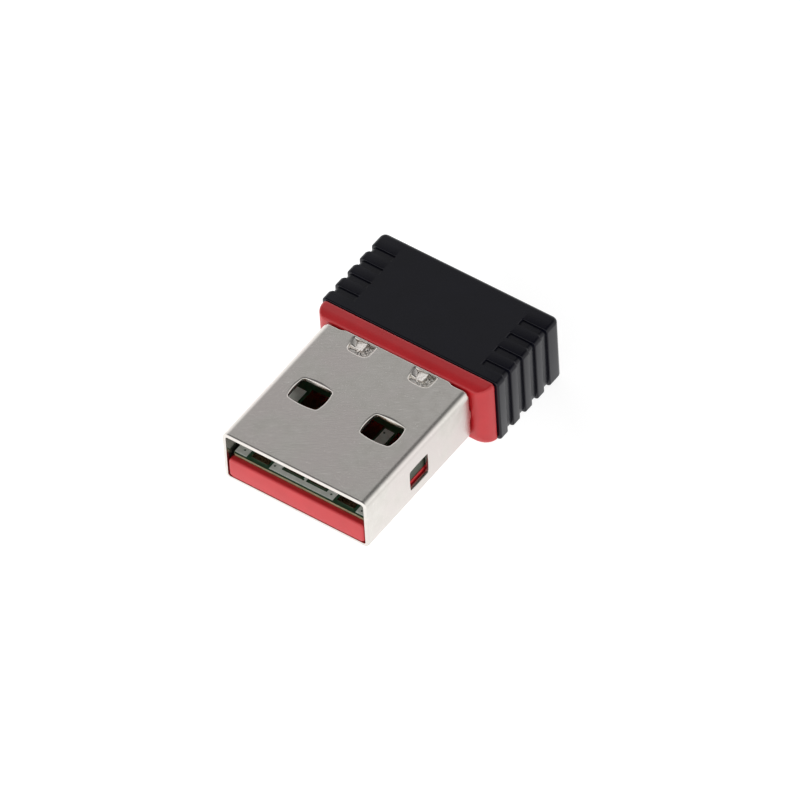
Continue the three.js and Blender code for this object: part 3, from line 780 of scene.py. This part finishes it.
def rear_y(fold, end, s):
    """The pattern's rear edge at s, which is set back round each of the four bends."""
    blend = RELIEF["blend"]
    starts = (
        fold.half_width - RELIEF["inset"],
        fold.side_position(fold.height - RELIEF["side"]),
        fold.side_position(RELIEF["side"]) - blend,
        end - RELIEF["under"],
    )
    around, back, again, under = (np.interp(abs(s), [start, start + blend], [0, 1]) for start in starts)
    amount = around - back + again - under
    return fold.length - RELIEF["depth"] * amount * amount * (3 - 2 * amount)


def left_normal(a, b):
    """Unit normal on the left of the line from a to b."""
    d = (b - a) / np.linalg.norm(b - a)
    return np.array([-d[1], d[0]])


def shell_outline(fold):
    """The flat pattern's edge: mouth, right seam, rear edge with its reliefs, left seam."""
    shift = SEAM["gap"] / 2
    end = fold.half_girth - shift
    inner = end - SEAM["clear"]
    front = [(-end, 0.0)] + [(s, 0.0) for s in shell_columns(fold) if abs(s) < inner] + [(end, 0.0)]
    rear = [(s, rear_y(fold, end, s)) for s in np.linspace(inner, -inner, int(2 * inner / REAR_STEP))]
    key = SEAM["key_offset"]
    low, high = SEAM["key_start"], SEAM["key_start"] + SEAM["key_length"]
    back = rear_y(fold, end, end)
    right = [(end, low), (end - key, low), (end - key, high), (end, high), (end, back)]
    left = [
        (-end, back),
        (-end, high - shift),
        (-end - key, high - shift),
        (-end - key, low + shift),
        (-end, low + shift),
    ]
    points = np.array(front + right + rear + left)
    radius = SEAM["radius"]
    reach, tops = [], []
    for i, here in enumerate(points):
        ahead = points[(i + 1) % len(points)]
        before, after = left_normal(points[i - 1], here), left_normal(here, ahead)
        corner = abs(np.cross(before, after)) > CORNER_SINE
        inward = before + after if corner else (before + after) / np.linalg.norm(before + after)
        at_front, at_rear = here[1] <= 0, here[1] > fold.length - REAR_BAND
        top = LIP_RADIUS if at_front else REAR_EDGE_RADIUS if at_rear else radius
        if corner and (at_front or at_rear):
            inward = inward * np.array([radius / top, 1.0])
        reach.append(inward)
        tops.append(top)
    tops = np.array(tops)
    bottoms = np.minimum(tops, BURR_RADIUS)
    return Edge(points, np.array(reach), tops, bottoms, np.zeros(len(points)), GUARD["outline"])


def shell_columns(fold):
    """s of the pattern's lengthwise lines: close together round the bends, sparse on flats."""
    half = [0.0]
    for start, span, steps in (
        (0, fold.flat, 12),
        (fold.flat, fold.bend, 10),
        (fold.flat + fold.bend, fold.side, 8),
        (fold.flat + fold.bend + fold.side, fold.bend, 10),
        (fold.flat + 2 * fold.bend + fold.side, fold.flat, 12),
    ):
        half += [start + span * step / steps for step in range(1, steps + 1)]
    bends = [fold.flat, fold.flat + fold.bend, fold.flat + fold.bend + fold.side, fold.half_girth - fold.flat]
    half += [bends[0] - 0.05, bends[1] + 0.05, bends[2] - 0.05, bends[3] + 0.05]
    half = sorted(half)
    return np.array([-s for s in reversed(half[1:])] + half)


def window_edge(centre, window):
    """A window: every edge bowed and rolled over, the far and left edges with a wider roll."""
    size = (window["width"], window["length"])
    points, normals, along = rounded_loop(centre, size, window["radius"], corner_steps=7, edge_steps=12)
    far = np.clip(normals[:, 1], 0, 1) ** 2 + LEFT_SHARE * np.clip(-normals[:, 0], 0, 1) ** 2
    roll = WINDOW_ROLL + window["far_roll"] * along * far
    bow = along * (window["bow"] + (window["far_bow"] - window["bow"]) * far)
    flip = slice(None, None, -1)
    return Edge(points[flip], normals[flip], roll[flip], BURR_RADIUS, bow[flip], GUARD["window"])


def tab_outline(side, offset):
    """The D-shaped outline of one staked tab, grown by an offset that is smaller at its rear."""
    centre = side * TAB["spacing"] / 2
    rear = PLUG_HIGH[1] - PLUG_LOW[1] - TAB["rear_strip"]
    half, radius, power = TAB["width"] / 2, TAB["corner"], TAB["squareness"]
    points, normals = [], []
    for right, start in ((1, 0), (-1, 90)):
        for angle in arc(5, start, start + 90):
            c, s = math.cos(angle), math.sin(angle)
            normals.append((c, s))
            points.append((centre + right * (half - radius) + radius * c, rear - radius + radius * s))
    shoulder = TAB["length"] * TAB["shoulder"]
    deep = TAB["length"] - shoulder
    for angle in arc(24, 180, 360):
        c, s = math.cos(angle), math.sin(angle)
        x = half * math.copysign(abs(c) ** (2 / power), c)
        y = -deep * abs(s) ** (2 / power)
        outward = (math.copysign(abs(c) ** (2 - 2 / power), c) / half, -abs(s) ** (2 - 2 / power) / deep)
        normals.append(tuple(np.array(outward) / np.linalg.norm(outward)))
        points.append((centre + x, rear - shoulder + y))
    normals = np.array(normals)
    share = np.where((normals[:, 1] > 0.5) & (offset > 0), TAB["rear_share"], 1.0)
    return np.array(points) + normals * offset * share[:, None]


def tab_depth(flat):
    """How far the top skin is pressed down at flat points, in and round the staked tabs."""
    depth = np.zeros(len(flat))
    rear = PLUG_HIGH[1] - PLUG_LOW[1] - TAB["rear_strip"]
    edge_drop = TAB["edge_drop"]
    for side in SIDES:
        outline = tab_outline(side, 0.0)
        dense = outline_dense(outline)
        near = np.array([np.min(np.hypot(*(dense - p).T)) for p in flat])
        x = flat[:, 0] - side * TAB["spacing"] / 2 + TAB["width"] / 2
        y = rear - flat[:, 1]
        drawn = (1 - rise(x, *TAB_DRAWN["across"])) * (1 - rise(y, *TAB_DRAWN["along"]))
        rolled = np.clip(1 - near / TAB["roll"], 0, 1) ** 2 * edge_drop
        sunk = np.clip(1 - near / TAB["drawn"], 0, 1) ** 2 * edge_drop
        around = (rolled * (1 - drawn) + sunk * drawn) * rise(y, 0.0, 0.04)
        crumple = np.array([tab_crumple(p, side) for p in flat])
        wall = np.clip(near / TAB["wall"], 0, 1)
        pressed = edge_drop + (tab_floor(x, y, crumple) - edge_drop) * wall
        depth += np.where(inside_loops(flat, [outline]), pressed, around)
    return depth


def tab_floor(x, y, crumple):
    """Depth inside a tab, from its left and rear edges: a ramp, a peened mound, a torn border."""
    split = RAMP["width"] + RAMP["widening"] * y
    front = RAMP_FRONT["drop"] * rise(y, *RAMP_FRONT["along"])
    ramp = RAMP["start"] + RAMP["slope"] * x / split + front
    mound = MOUND["start"] - MOUND["slope"] * (x - split) - MOUND["tilt"] * y + MOUND["crumple"] * crumple
    torn = TORN["depth"] + TORN["crumple"] * crumple
    ahead = rise(y + MOUND_EDGE["wander"] * crumple, *MOUND_EDGE["along"])
    inside = (1 - rise(x, *MOUND_EDGE["across"])) * (1 - ahead)
    border = np.maximum(MOUND["least"], mound) * inside + torn * (1 - inside)
    return np.where(x < split, np.minimum(ramp, RAMP["deepest"]), border)


def outline_dense(outline):
    """The same outline with a point every few hundredths of a millimetre."""
    following = np.roll(outline, -1, axis=0)
    shares = np.linspace(0, 1, 6, endpoint=False)[:, None, None]
    return (outline[None] * (1 - shares) + following[None] * shares).reshape(-1, 2)


def tab_crumple(point, side):
    """Torn and peened metal: sharp-edged lumps about a tenth of a millimetre across."""
    scale = CRUMPLE["scale"]
    seed = Vector((point[0] * scale + side * CRUMPLE["seed_step"], point[1] * scale, CRUMPLE["seed"]))
    return CRUMPLE["coarse"] * noise.noise(seed) + CRUMPLE["fine"] * noise.noise(seed * CRUMPLE["finer"])


def window_places(fold):
    """Every window of the pattern with its centre: two on top, two below and one on each side."""
    windows = []
    middle = TOP_WINDOW["start"] + TOP_WINDOW["length"] / 2
    side_middle = SIDE_WINDOW["start"] + SIDE_WINDOW["length"] / 2
    beside = fold.side_position(SIDE_WINDOW["lift"] + SIDE_WINDOW["width"] / 2)
    for side in SIDES:
        for s in (TOP_WINDOW["spacing"] / 2, fold.half_girth - TOP_WINDOW["spacing"] / 2):
            windows.append(((side * s, middle), TOP_WINDOW))
        windows.append(((side * beside, side_middle), SIDE_WINDOW))
    return windows


def shell_lattice(fold):
    """Free points of the pattern, clear of the windows, the seam's key and the tabs."""
    rows = np.concatenate([
        [LIP_RADIUS + ROW["first"]],
        np.arange(ROW["start"], fold.length - ROW["stop"], ROW["step"]),
        [fold.length - ROW["start"]],
    ])
    lattice = np.array([(s, y) for s in shell_columns(fold)[1:-1] for y in rows])
    margin = WINDOW_ROLL + TOP_WINDOW["far_roll"] + TOP_WINDOW["bow"] + ROW["clear"]
    for (x, y), window in window_places(fold):
        beside = np.abs(lattice[:, 0] - x) > window["width"] / 2 + margin
        ahead = np.abs(lattice[:, 1] - y) > window["length"] / 2 + margin
        lattice = lattice[beside | ahead]
    clear = SEAM["clear"]
    seam = np.abs(lattice[:, 0]) > fold.half_girth - SEAM["key_offset"] - clear
    after = lattice[:, 1] > SEAM["key_start"] - clear
    before = lattice[:, 1] < SEAM["key_start"] + SEAM["key_length"] + clear
    lattice = lattice[~(seam & after & before) & (np.abs(lattice[:, 0]) < fold.half_girth - clear)]
    for side in SIDES:
        lattice = lattice[~inside_loops(lattice, [tab_outline(side, TAB_GRID["clear"])])]
    return lattice


def tab_points(fold, side):
    """A fine grid inside one staked tab."""
    half, rear = TAB["width"] / 2, fold.length - TAB["rear_strip"]
    xs = np.arange(-half, half, TAB_GRID["step"]) + side * TAB["spacing"] / 2
    ys = np.arange(rear - TAB["length"], rear, TAB_GRID["step"])
    grid = np.array([(x, y) for x in xs for y in ys])
    return grid[inside_loops(grid, [tab_outline(side, -TAB_GRID["inset"])])]


def usb_shell():
    """The plug's folded sheet with its windows, seam and staked tabs."""
    fold = ShellFold()
    edges = [shell_outline(fold)] + [window_edge(centre, window) for centre, window in window_places(fold)]
    interior = np.vstack([shell_lattice(fold)] + [tab_points(fold, side) for side in SIDES])
    creases = [tab_outline(side, offset) for side in SIDES for offset in TAB_CREASES]

    def height(flat):
        top = np.zeros(len(flat))
        near = (np.abs(flat[:, 0]) < TAB_ZONE["half"]) & (flat[:, 1] > fold.length - TAB_ZONE["length"])
        top[near] = tab_depth(flat[near])
        return top, SHEET + np.maximum(0, top * UNDERSIDE_SHARE)

    points, faces = sheet_mesh(edges, interior, creases, SHEET, fold.place, height)
    obj = new_mesh_object("plug_shell_sheet", points, faces)
    return finish_piece(obj, nickel_material(), ["usb_shell"], smooth_angle=40)


# ---------------- carrier moulding


def section(y, half, low, high, radius, low_radius=None):
    """A rounded rectangle across the adapter at y, whose lower corners may be rounder."""
    under = low_radius or radius
    corners = (
        (half - under, low + under, under, -90),
        (half - radius, high - radius, radius, 0),
        (radius - half, high - radius, radius, 90),
        (under - half, low + under, under, 180),
    )
    points = []
    for x, z, size, start in corners:
        for angle in arc(10, start, start + 90):
            points.append((x + size * math.cos(angle), y, z + size * math.sin(angle)))
    return np.array(points)


def collar_solid():
    """The collar: swept in at its sides and below, with a crowned front and a rounded rear."""
    front, rear = MOUTH + COLLAR_START, MOUTH + COLLAR_START + COLLAR_LENGTH
    at_front, at_rear = COLLAR_CORNER["front"], COLLAR_CORNER["rear"]
    height = CAP_HIGH[2] - CAP_LOW[2]
    rings = []
    for share in (1 - np.cos(arc(28, 0, 90))):
        y = front + share * (rear - PARTING_RADIUS - front)
        t = (y - front) / (rear - front)
        sweep = COLLAR_SWEEP * (1 - math.sqrt(1 - (1 - t) ** 2))
        ahead = max(0.0, 1 - (y - front) / COLLAR_CROWN["length"])
        steep = max(0.0, 1 - (y - front) / COLLAR_CROWN["edge"])
        drop = COLLAR_CROWN["drop"] * ahead**2 + COLLAR_CROWN["edge"] * (1 - math.sqrt(1 - steep**2))
        corner = at_front + (at_rear - at_front) * t**1.5
        under = COLLAR_CORNER["under"] + (at_rear - COLLAR_CORNER["under"]) * t
        rings.append(section(y, COLLAR_WIDTH / 2 - sweep, sweep, height - drop, corner, under))
    for angle in arc(4, 0, 90)[1:]:
        inset = PARTING_RADIUS * (1 - math.cos(angle))
        y = rear - PARTING_RADIUS + PARTING_RADIUS * math.sin(angle)
        rings.append(section(y, COLLAR_WIDTH / 2 - inset, inset, height - inset, at_rear))
    return new_mesh_object("collar", *loft(rings), scale=1.0)


def block(x, start, size):
    """A plain core or cutter centred on x, by its front and bottom, and its width, length and height."""
    (y, z), (width, length, height) = start, size
    steps = [(a, b, c) for a in SIDES for b in (0, 1) for c in (0, 1)]
    corners = [(x + a * width / 2, y + b * length, z + c * height) for a, b, c in steps]
    faces = [(0, 1, 3, 2), (4, 6, 7, 5), (0, 4, 5, 1), (2, 3, 7, 6), (0, 2, 6, 4), (1, 5, 7, 3)]
    return new_mesh_object("block", corners, faces, scale=1.0)


def wall_profile():
    """The front wall's rounded front edge as (distance back, inset) pairs, then its straight run."""
    radius = WALL["edge"]
    rounded = [(radius * (1 - math.sin(a)), radius * (1 - math.cos(a))) for a in arc(6, 90, 0)]
    return rounded + [(WALL["thickness"], 0.0)]


def join_plug_inside(body, floor, seat, bridge_low, bridge_high):
    """Joins the mouth wall, the tray behind it and the bridge over the board to the collar."""
    half, high = CARRIER_WIDTH / 2, floor + WALL["height"]
    rings = [section(MOUTH + d, half - e, floor + e, high - e, WALL["radius"]) for d, e in wall_profile()]
    boolean(body, new_mesh_object("wall", *loft(rings), scale=1.0), "UNION")
    wall_middle = WALL["thickness"] / 2
    tray_length = COLLAR_START + COLLAR_LENGTH / 2 - wall_middle
    tray = (CARRIER_WIDTH - TRAY_INSET, tray_length, seat - floor)
    boolean(body, block(0, (MOUTH + wall_middle, floor), tray), "UNION")
    bridge = (CARRIER_WIDTH, BRIDGE_LENGTH + COLLAR_LENGTH / 2, bridge_high - bridge_low)
    boolean(body, block(0, (MOUTH + COLLAR_START - BRIDGE_LENGTH, bridge_low), bridge), "UNION")


def join_spigot(body):
    """Joins the hollow spigot that holds the cap to the back of the collar."""
    height = CAP_HIGH[2] - CAP_LOW[2]
    rear = MOUTH + COLLAR_START + COLLAR_LENGTH
    inset = CAP_WALL + FIT_GAP
    half = CAP_HIGH[0] - inset
    ends = (rear - SPIGOT["overlap"], rear + SPIGOT["length"])
    rings = [section(y, half, inset, height - inset, SPIGOT["corner"]) for y in ends]
    boolean(body, new_mesh_object("spigot", *loft(rings), scale=1.0), "UNION")
    inner = inset + SPIGOT["wall"]
    hollow = (2 * (half - SPIGOT["wall"]), 2 * SPIGOT["length"], height - 2 * inner)
    boolean(body, block(0, (rear, inner), hollow), "DIFFERENCE")


def cut_openings(body, seat, bridge_high):
    """Cuts the tabs' pockets, the board's slot and the channel for parts under the board."""
    for side in SIDES:
        y = PLUG_HIGH[1] - TAB["rear_strip"] - TAB["length"] - FIT_GAP
        pocket = (TAB["width"] + 2 * FIT_GAP, TAB["length"] + FIT_GAP, 2 * POCKET_DEPTH)
        boolean(body, block(side * TAB["spacing"] / 2, (y, bridge_high - POCKET_DEPTH), pocket), "DIFFERENCE")
    length = BOARD_HIGH[1] - BOARD_LOW[1]
    slot = (BOARD_HIGH[0] * 2 + 2 * FIT_GAP, length, BOARD_HIGH[2] - BOARD_LOW[2] + 2 * SEAT_GAP)
    boolean(body, block(0, (BOARD_LOW[1] - FIT_GAP, seat), slot), "DIFFERENCE")
    low = PLUG_LOW[2] + SHEET + CHANNEL["floor"]
    channel = (CHANNEL["width"], length, BOARD_LOW[2] - low)
    boolean(body, block(0, (MOUTH + CHANNEL["start"], low), channel), "DIFFERENCE")


def carrier():
    """The red moulding: collar, mouth wall, tray, bridge and spigot in one piece."""
    floor = PLUG_LOW[2] + SHEET + FIT_GAP / 2
    seat = BOARD_LOW[2] - SEAT_GAP
    bridge_high = PLUG_HIGH[2] - SHEET - FIT_GAP
    body = collar_solid()
    join_plug_inside(body, floor, seat, BOARD_HIGH[2] + SEAT_GAP, bridge_high)
    join_spigot(body)
    cut_openings(body, seat, bridge_high)
    soft_edges(body, CARRIER_EDGE, angle=35.0)
    evaluated(body)
    to_metres(body)
    body.name = "carrier_moulding"
    return finish_piece(body, red_material(), ["carrier"], smooth_angle=30)


# ---------------- ribbed cap


def cap_section(y, half, low, high, radius, side_drop=0.0, face_drop=0.0):
    """The cap's section at y. A groove lowers its sides, corners and the ends of its faces."""
    step = CAP_HIGH[0] - GROOVE["reach"]
    xs = np.concatenate([[0, CAP_COLUMN], step + np.array(GROOVE_COLUMNS)])
    top = high - face_drop * rise(xs, step + GROOVE_END[0], step + GROOVE_END[1])
    mid = (low + high) / 2
    quarter = list(zip(xs, top))
    centre = (half - side_drop - radius, high - face_drop - radius)
    for angle in arc(10, 90, 0):
        quarter.append((centre[0] + radius * math.cos(angle), centre[1] + radius * math.sin(angle)))
    quarter = np.array(quarter)
    side = np.array([[half - side_drop, mid]])
    low_right = np.column_stack([quarter[:, 0], 2 * mid - quarter[:, 1]])[::-1]
    right = np.vstack([quarter, side, low_right])
    left = (right * np.array([-1, 1]))[::-1][1:-1]
    loop = np.vstack([right, left])
    return np.column_stack([loop[:, 0], np.full(len(loop), y), loop[:, 1]])


def groove_profile(y, depth, lead):
    """Depth at y of a groove with a sloping front wall and a steep rear wall with a round edge."""
    front = CAP_LOW[1] + GROOVE["first"]
    deepest = 0.0
    for index in range(GROOVE["count"]):
        start = front + index * GROOVE["pitch"]
        end = start + GROOVE["width"]
        if start - lead < y < end:
            deepest = depth * float(rise(y, start - lead, start + lead / 2))
        elif end <= y < end + GROOVE_EDGE:
            over = 1 - (y - end) / GROOVE_EDGE
            deepest = GROOVE_EDGE * (1 - math.sqrt(max(0.0, 1 - over**2)))
    return deepest


def cap_stations():
    """y of the cap's outer sections: dense over groove walls and the rounded rear."""
    front, rear = CAP_LOW[1], CAP_HIGH[1]
    ys = [front + CAP_RIM_RADIUS + 0.01]
    for index in range(GROOVE["count"]):
        start = front + GROOVE["first"] + index * GROOVE["pitch"]
        end = start + GROOVE["width"]
        for lead in GROOVE_LEAD.values():
            ys += list(np.linspace(start - lead, start + lead / 2, 9))
        ys += [end - before for before in GROOVE_REAR]
        ys += [end + GROOVE_EDGE * (1 - math.cos(angle)) for angle in arc(5, 0, 90)[1:]]
    ys += [rear - CAP_REAR_CORNER - before for before in CAP_REAR_ROWS]
    return sorted(set(ys))


def housing_cap():
    """The cap, lofted from its inside's closed end to its mouth and back over the outside."""
    front, rear = CAP_LOW[1], CAP_HIGH[1]
    low, high, half = CAP_LOW[2], CAP_HIGH[2], CAP_HIGH[0]
    flare = CAP_LEAD_IN["inset"]
    rings = []
    for y, out in ((rear - CAP_WALL, 0.0), (front + CAP_LEAD_IN["length"], 0.0), (front, flare)):
        wall = CAP_WALL - out
        rings.append(cap_section(y, half - wall, low + wall, high - wall, CAP_CORNER))
    for angle in arc(4, 90, 0):
        inset = CAP_RIM_RADIUS * (1 - math.cos(angle))
        y = front + CAP_RIM_RADIUS * (1 - math.sin(angle))
        rings.append(cap_section(y, half - inset, low + inset, high - inset, CAP_CORNER))
    for y in cap_stations():
        side = groove_profile(y, GROOVE["side"], GROOVE_LEAD["side"])
        face = groove_profile(y, GROOVE["face"], GROOVE_LEAD["face"])
        rings.append(cap_section(y, half, low, high, CAP_CORNER, side, face))
    for angle in arc(12, 0, 90):
        y = rear - CAP_REAR_CORNER + CAP_REAR_CORNER * math.sin(angle)
        plan = CAP_REAR_CORNER * (1 - math.cos(angle))
        into = max(0.0, y - (rear - CAP_EDGE_RADIUS)) / CAP_EDGE_RADIUS
        edge = CAP_EDGE_RADIUS * (1 - math.sqrt(max(0.0, 1 - into**2)))
        radius = CAP_CORNER - edge * CAP_EDGE_SHARE
        rings.append(cap_section(y, half - plan, low + edge, high - edge, radius))
    obj = new_mesh_object("cap_moulding", *loft(rings))
    return finish_piece(obj, black_material(), ["housing_cap"], smooth_angle=38)


# ---------------- board, foil and parts


def drill(x, y, low, high):
    """A round cutter standing at x and y from the mouth, between two heights."""
    angles = arc(VIA["sides"], 0, 360)[:-1]
    ring = [(x + VIA["radius"] * math.cos(a), MOUTH + y + VIA["radius"] * math.sin(a)) for a in angles]
    rings = [np.array([(*point, z) for point in ring]) for z in (low, high)]
    return new_mesh_object("drill", *loft(rings), scale=1.0)


def drilled_foil(node, holes, material):
    """A copy of a foil plate with its plated holes drilled through."""
    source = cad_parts[node]
    points = [source.matrix_world @ vertex.co / MM for vertex in source.data.vertices]
    faces = [tuple(face.vertices) for face in source.data.polygons]
    plate = new_mesh_object(node + "_foil", points, faces, scale=1.0)
    low, high = cad_box(node)
    for x, y in holes:
        boolean(plate, drill(x, y, low[2] - FIT_GAP, high[2] + FIT_GAP), "DIFFERENCE")
    to_metres(plate)
    return finish_piece(plate, material, [node])


def component_axis(node):
    """The axis along which a chip component's two ends lie apart."""
    low, high = cad_box(node)
    return int(np.argmax((high - low)[:2]))


def part_materials():
    """Material for each family of parts, by how the node's name begins."""
    return {
        "pcb": board_material(),
        "contact": gold_material(),
        "antenna_trace": masked_copper_material(),
        "wifi_chip": chip_material(),
        "crystal_base": ceramic_material("crystal_ceramic", "ceramic"),
        "crystal_can": lid_material(),
        "power_inductor": ceramic_material("ferrite", "ferrite"),
    }


def component_materials():
    """A material for each body tone and each direction of chip component."""
    made = {}
    for axis in (0, 1):
        for begins, tone in COMPONENT_TONES.items():
            made[begins, axis] = chip_component_material(f"{begins}_{axis}", tone, axis)
    return made


def dress_board_and_parts():
    """Drills the foil, and gives every node that keeps its CAD mesh a material and soft edges."""
    tin = tin_material()
    for node, holes in VIA_PLACES.items():
        drilled_foil(node, holes, tin)
    families, components = part_materials(), component_materials()
    for name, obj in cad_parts.items():
        if obj.hide_render:
            continue
        tone = next((begins for begins in COMPONENT_TONES if name.startswith(begins)), None)
        if tone:
            material = components[tone, component_axis(name)]
        else:
            material = next(families[begins] for begins in families if name.startswith(begins))
        obj.data.materials.clear()
        obj.data.materials.append(material)
        soft_edges(obj, (CONTACT_EDGE if name.startswith("contact") else PART_EDGE) * MM)


# ---------------- camera, light and stage


def camera_axes():
    """Directions to the camera's back, right and top."""
    azimuth, elevation = math.radians(CAMERA["azimuth"]), math.radians(CAMERA["elevation"])
    level = math.cos(elevation)
    back = Vector((math.sin(azimuth) * level, -math.cos(azimuth) * level, math.sin(elevation)))
    right = Vector((math.cos(azimuth), math.sin(azimuth), 0))
    up = back.cross(right)
    c, s = math.cos(math.radians(CAMERA["roll"])), math.sin(math.radians(CAMERA["roll"]))
    return back, c * right + s * up, c * up - s * right


def make_camera():
    back, right, up = camera_axes()
    aim = Vector((0, MOUTH + CAMERA["aim_from_mouth"], PLUG_LOW[2] + CAMERA["aim_above_plug"])) * MM
    data = bpy.data.cameras.new("camera")
    data.sensor_width = CAMERA["sensor"]
    data.lens = CAMERA["sensor"] * CAMERA["distance"] / (CAMERA["field"] * MM)
    data.clip_start, data.clip_end = CAMERA["clip"]
    camera = bpy.data.objects.new("camera", data)
    location = aim + back * CAMERA["distance"] + (right * CAMERA["right"] + up * CAMERA["up"]) * MM
    camera.matrix_world = Matrix.Translation(location) @ Matrix((right, up, back)).transposed().to_4x4()
    bpy.context.scene.collection.objects.link(camera)
    bpy.context.scene.camera = camera


def make_floor():
    """A white floor that glows a little more in front, where a studio's white card would be."""
    half = FLOOR["half"]
    points = [(-half, -half, 0), (half, -half, 0), (half, half, 0), (-half, half, 0)]
    floor = new_mesh_object("floor", points, [(0, 1, 2, 3)])
    floor.location.z = CAD_BOUNDS[0][2] - FLOOR["gap"] * MM
    n = Nodes("floor")
    forward = n.add("ShaderNodeVectorMath", operation="DOT_PRODUCT")
    n.link(n.place, forward.inputs[0])
    forward.inputs[1].default_value = FLOOR_FRONT
    glow = n.add("ShaderNodeMapRange")
    glow.inputs["From Min"].default_value = -FLOOR["reach"] * MM
    glow.inputs["From Max"].default_value = FLOOR["reach"] * MM
    glow.inputs["To Min"].default_value, glow.inputs["To Max"].default_value = FLOOR_GLOW
    n.link(forward.outputs["Value"], glow.inputs["Value"])
    n.link(glow.outputs["Result"], n.shader.inputs["Emission Strength"])
    tone = (*(FLOOR["tone"],) * 3, 1)
    n.constants(Base_Color=tone, Roughness=FLOOR["roughness"], Emission_Color=(1, 1, 1, 1))
    floor.data.materials.append(n.material)


def make_light():
    """Lights everything from the tent, whose front is a little brighter."""
    world = bpy.data.worlds.new("studio")
    world.use_nodes = True
    nodes, link = world.node_tree.nodes, world.node_tree.links.new
    split = nodes.new("ShaderNodeSeparateXYZ")
    link(nodes.new("ShaderNodeTexCoord").outputs["Generated"], split.inputs["Vector"])
    ramp = nodes.new("ShaderNodeValToRGB")
    link(split.outputs["Z"], ramp.inputs["Fac"])
    link(ramp.outputs["Color"], nodes["Background"].inputs["Color"])
    ahead = nodes.new("ShaderNodeMapRange")
    ahead.inputs["From Min"].default_value, ahead.inputs["From Max"].default_value = 0.0, -1.0
    ahead.inputs["To Min"].default_value, ahead.inputs["To Max"].default_value = 1.0, 1.0 + FRONT_CARD
    link(split.outputs["Y"], ahead.inputs["Value"])
    link(ahead.outputs["Result"], nodes["Background"].inputs["Strength"])
    elements = ramp.color_ramp.elements
    while len(elements) < len(TENT):
        elements.new(1.0)
    for element, (height, radiance) in zip(elements, TENT):
        element.position = height
        element.color = (radiance, radiance, radiance, 1)
    bpy.context.scene.world = world
    bpy.context.scene.view_settings.view_transform = "Standard"


make_camera()
make_floor()
make_light()
usb_shell()
carrier()
housing_cap()
dress_board_and_parts()
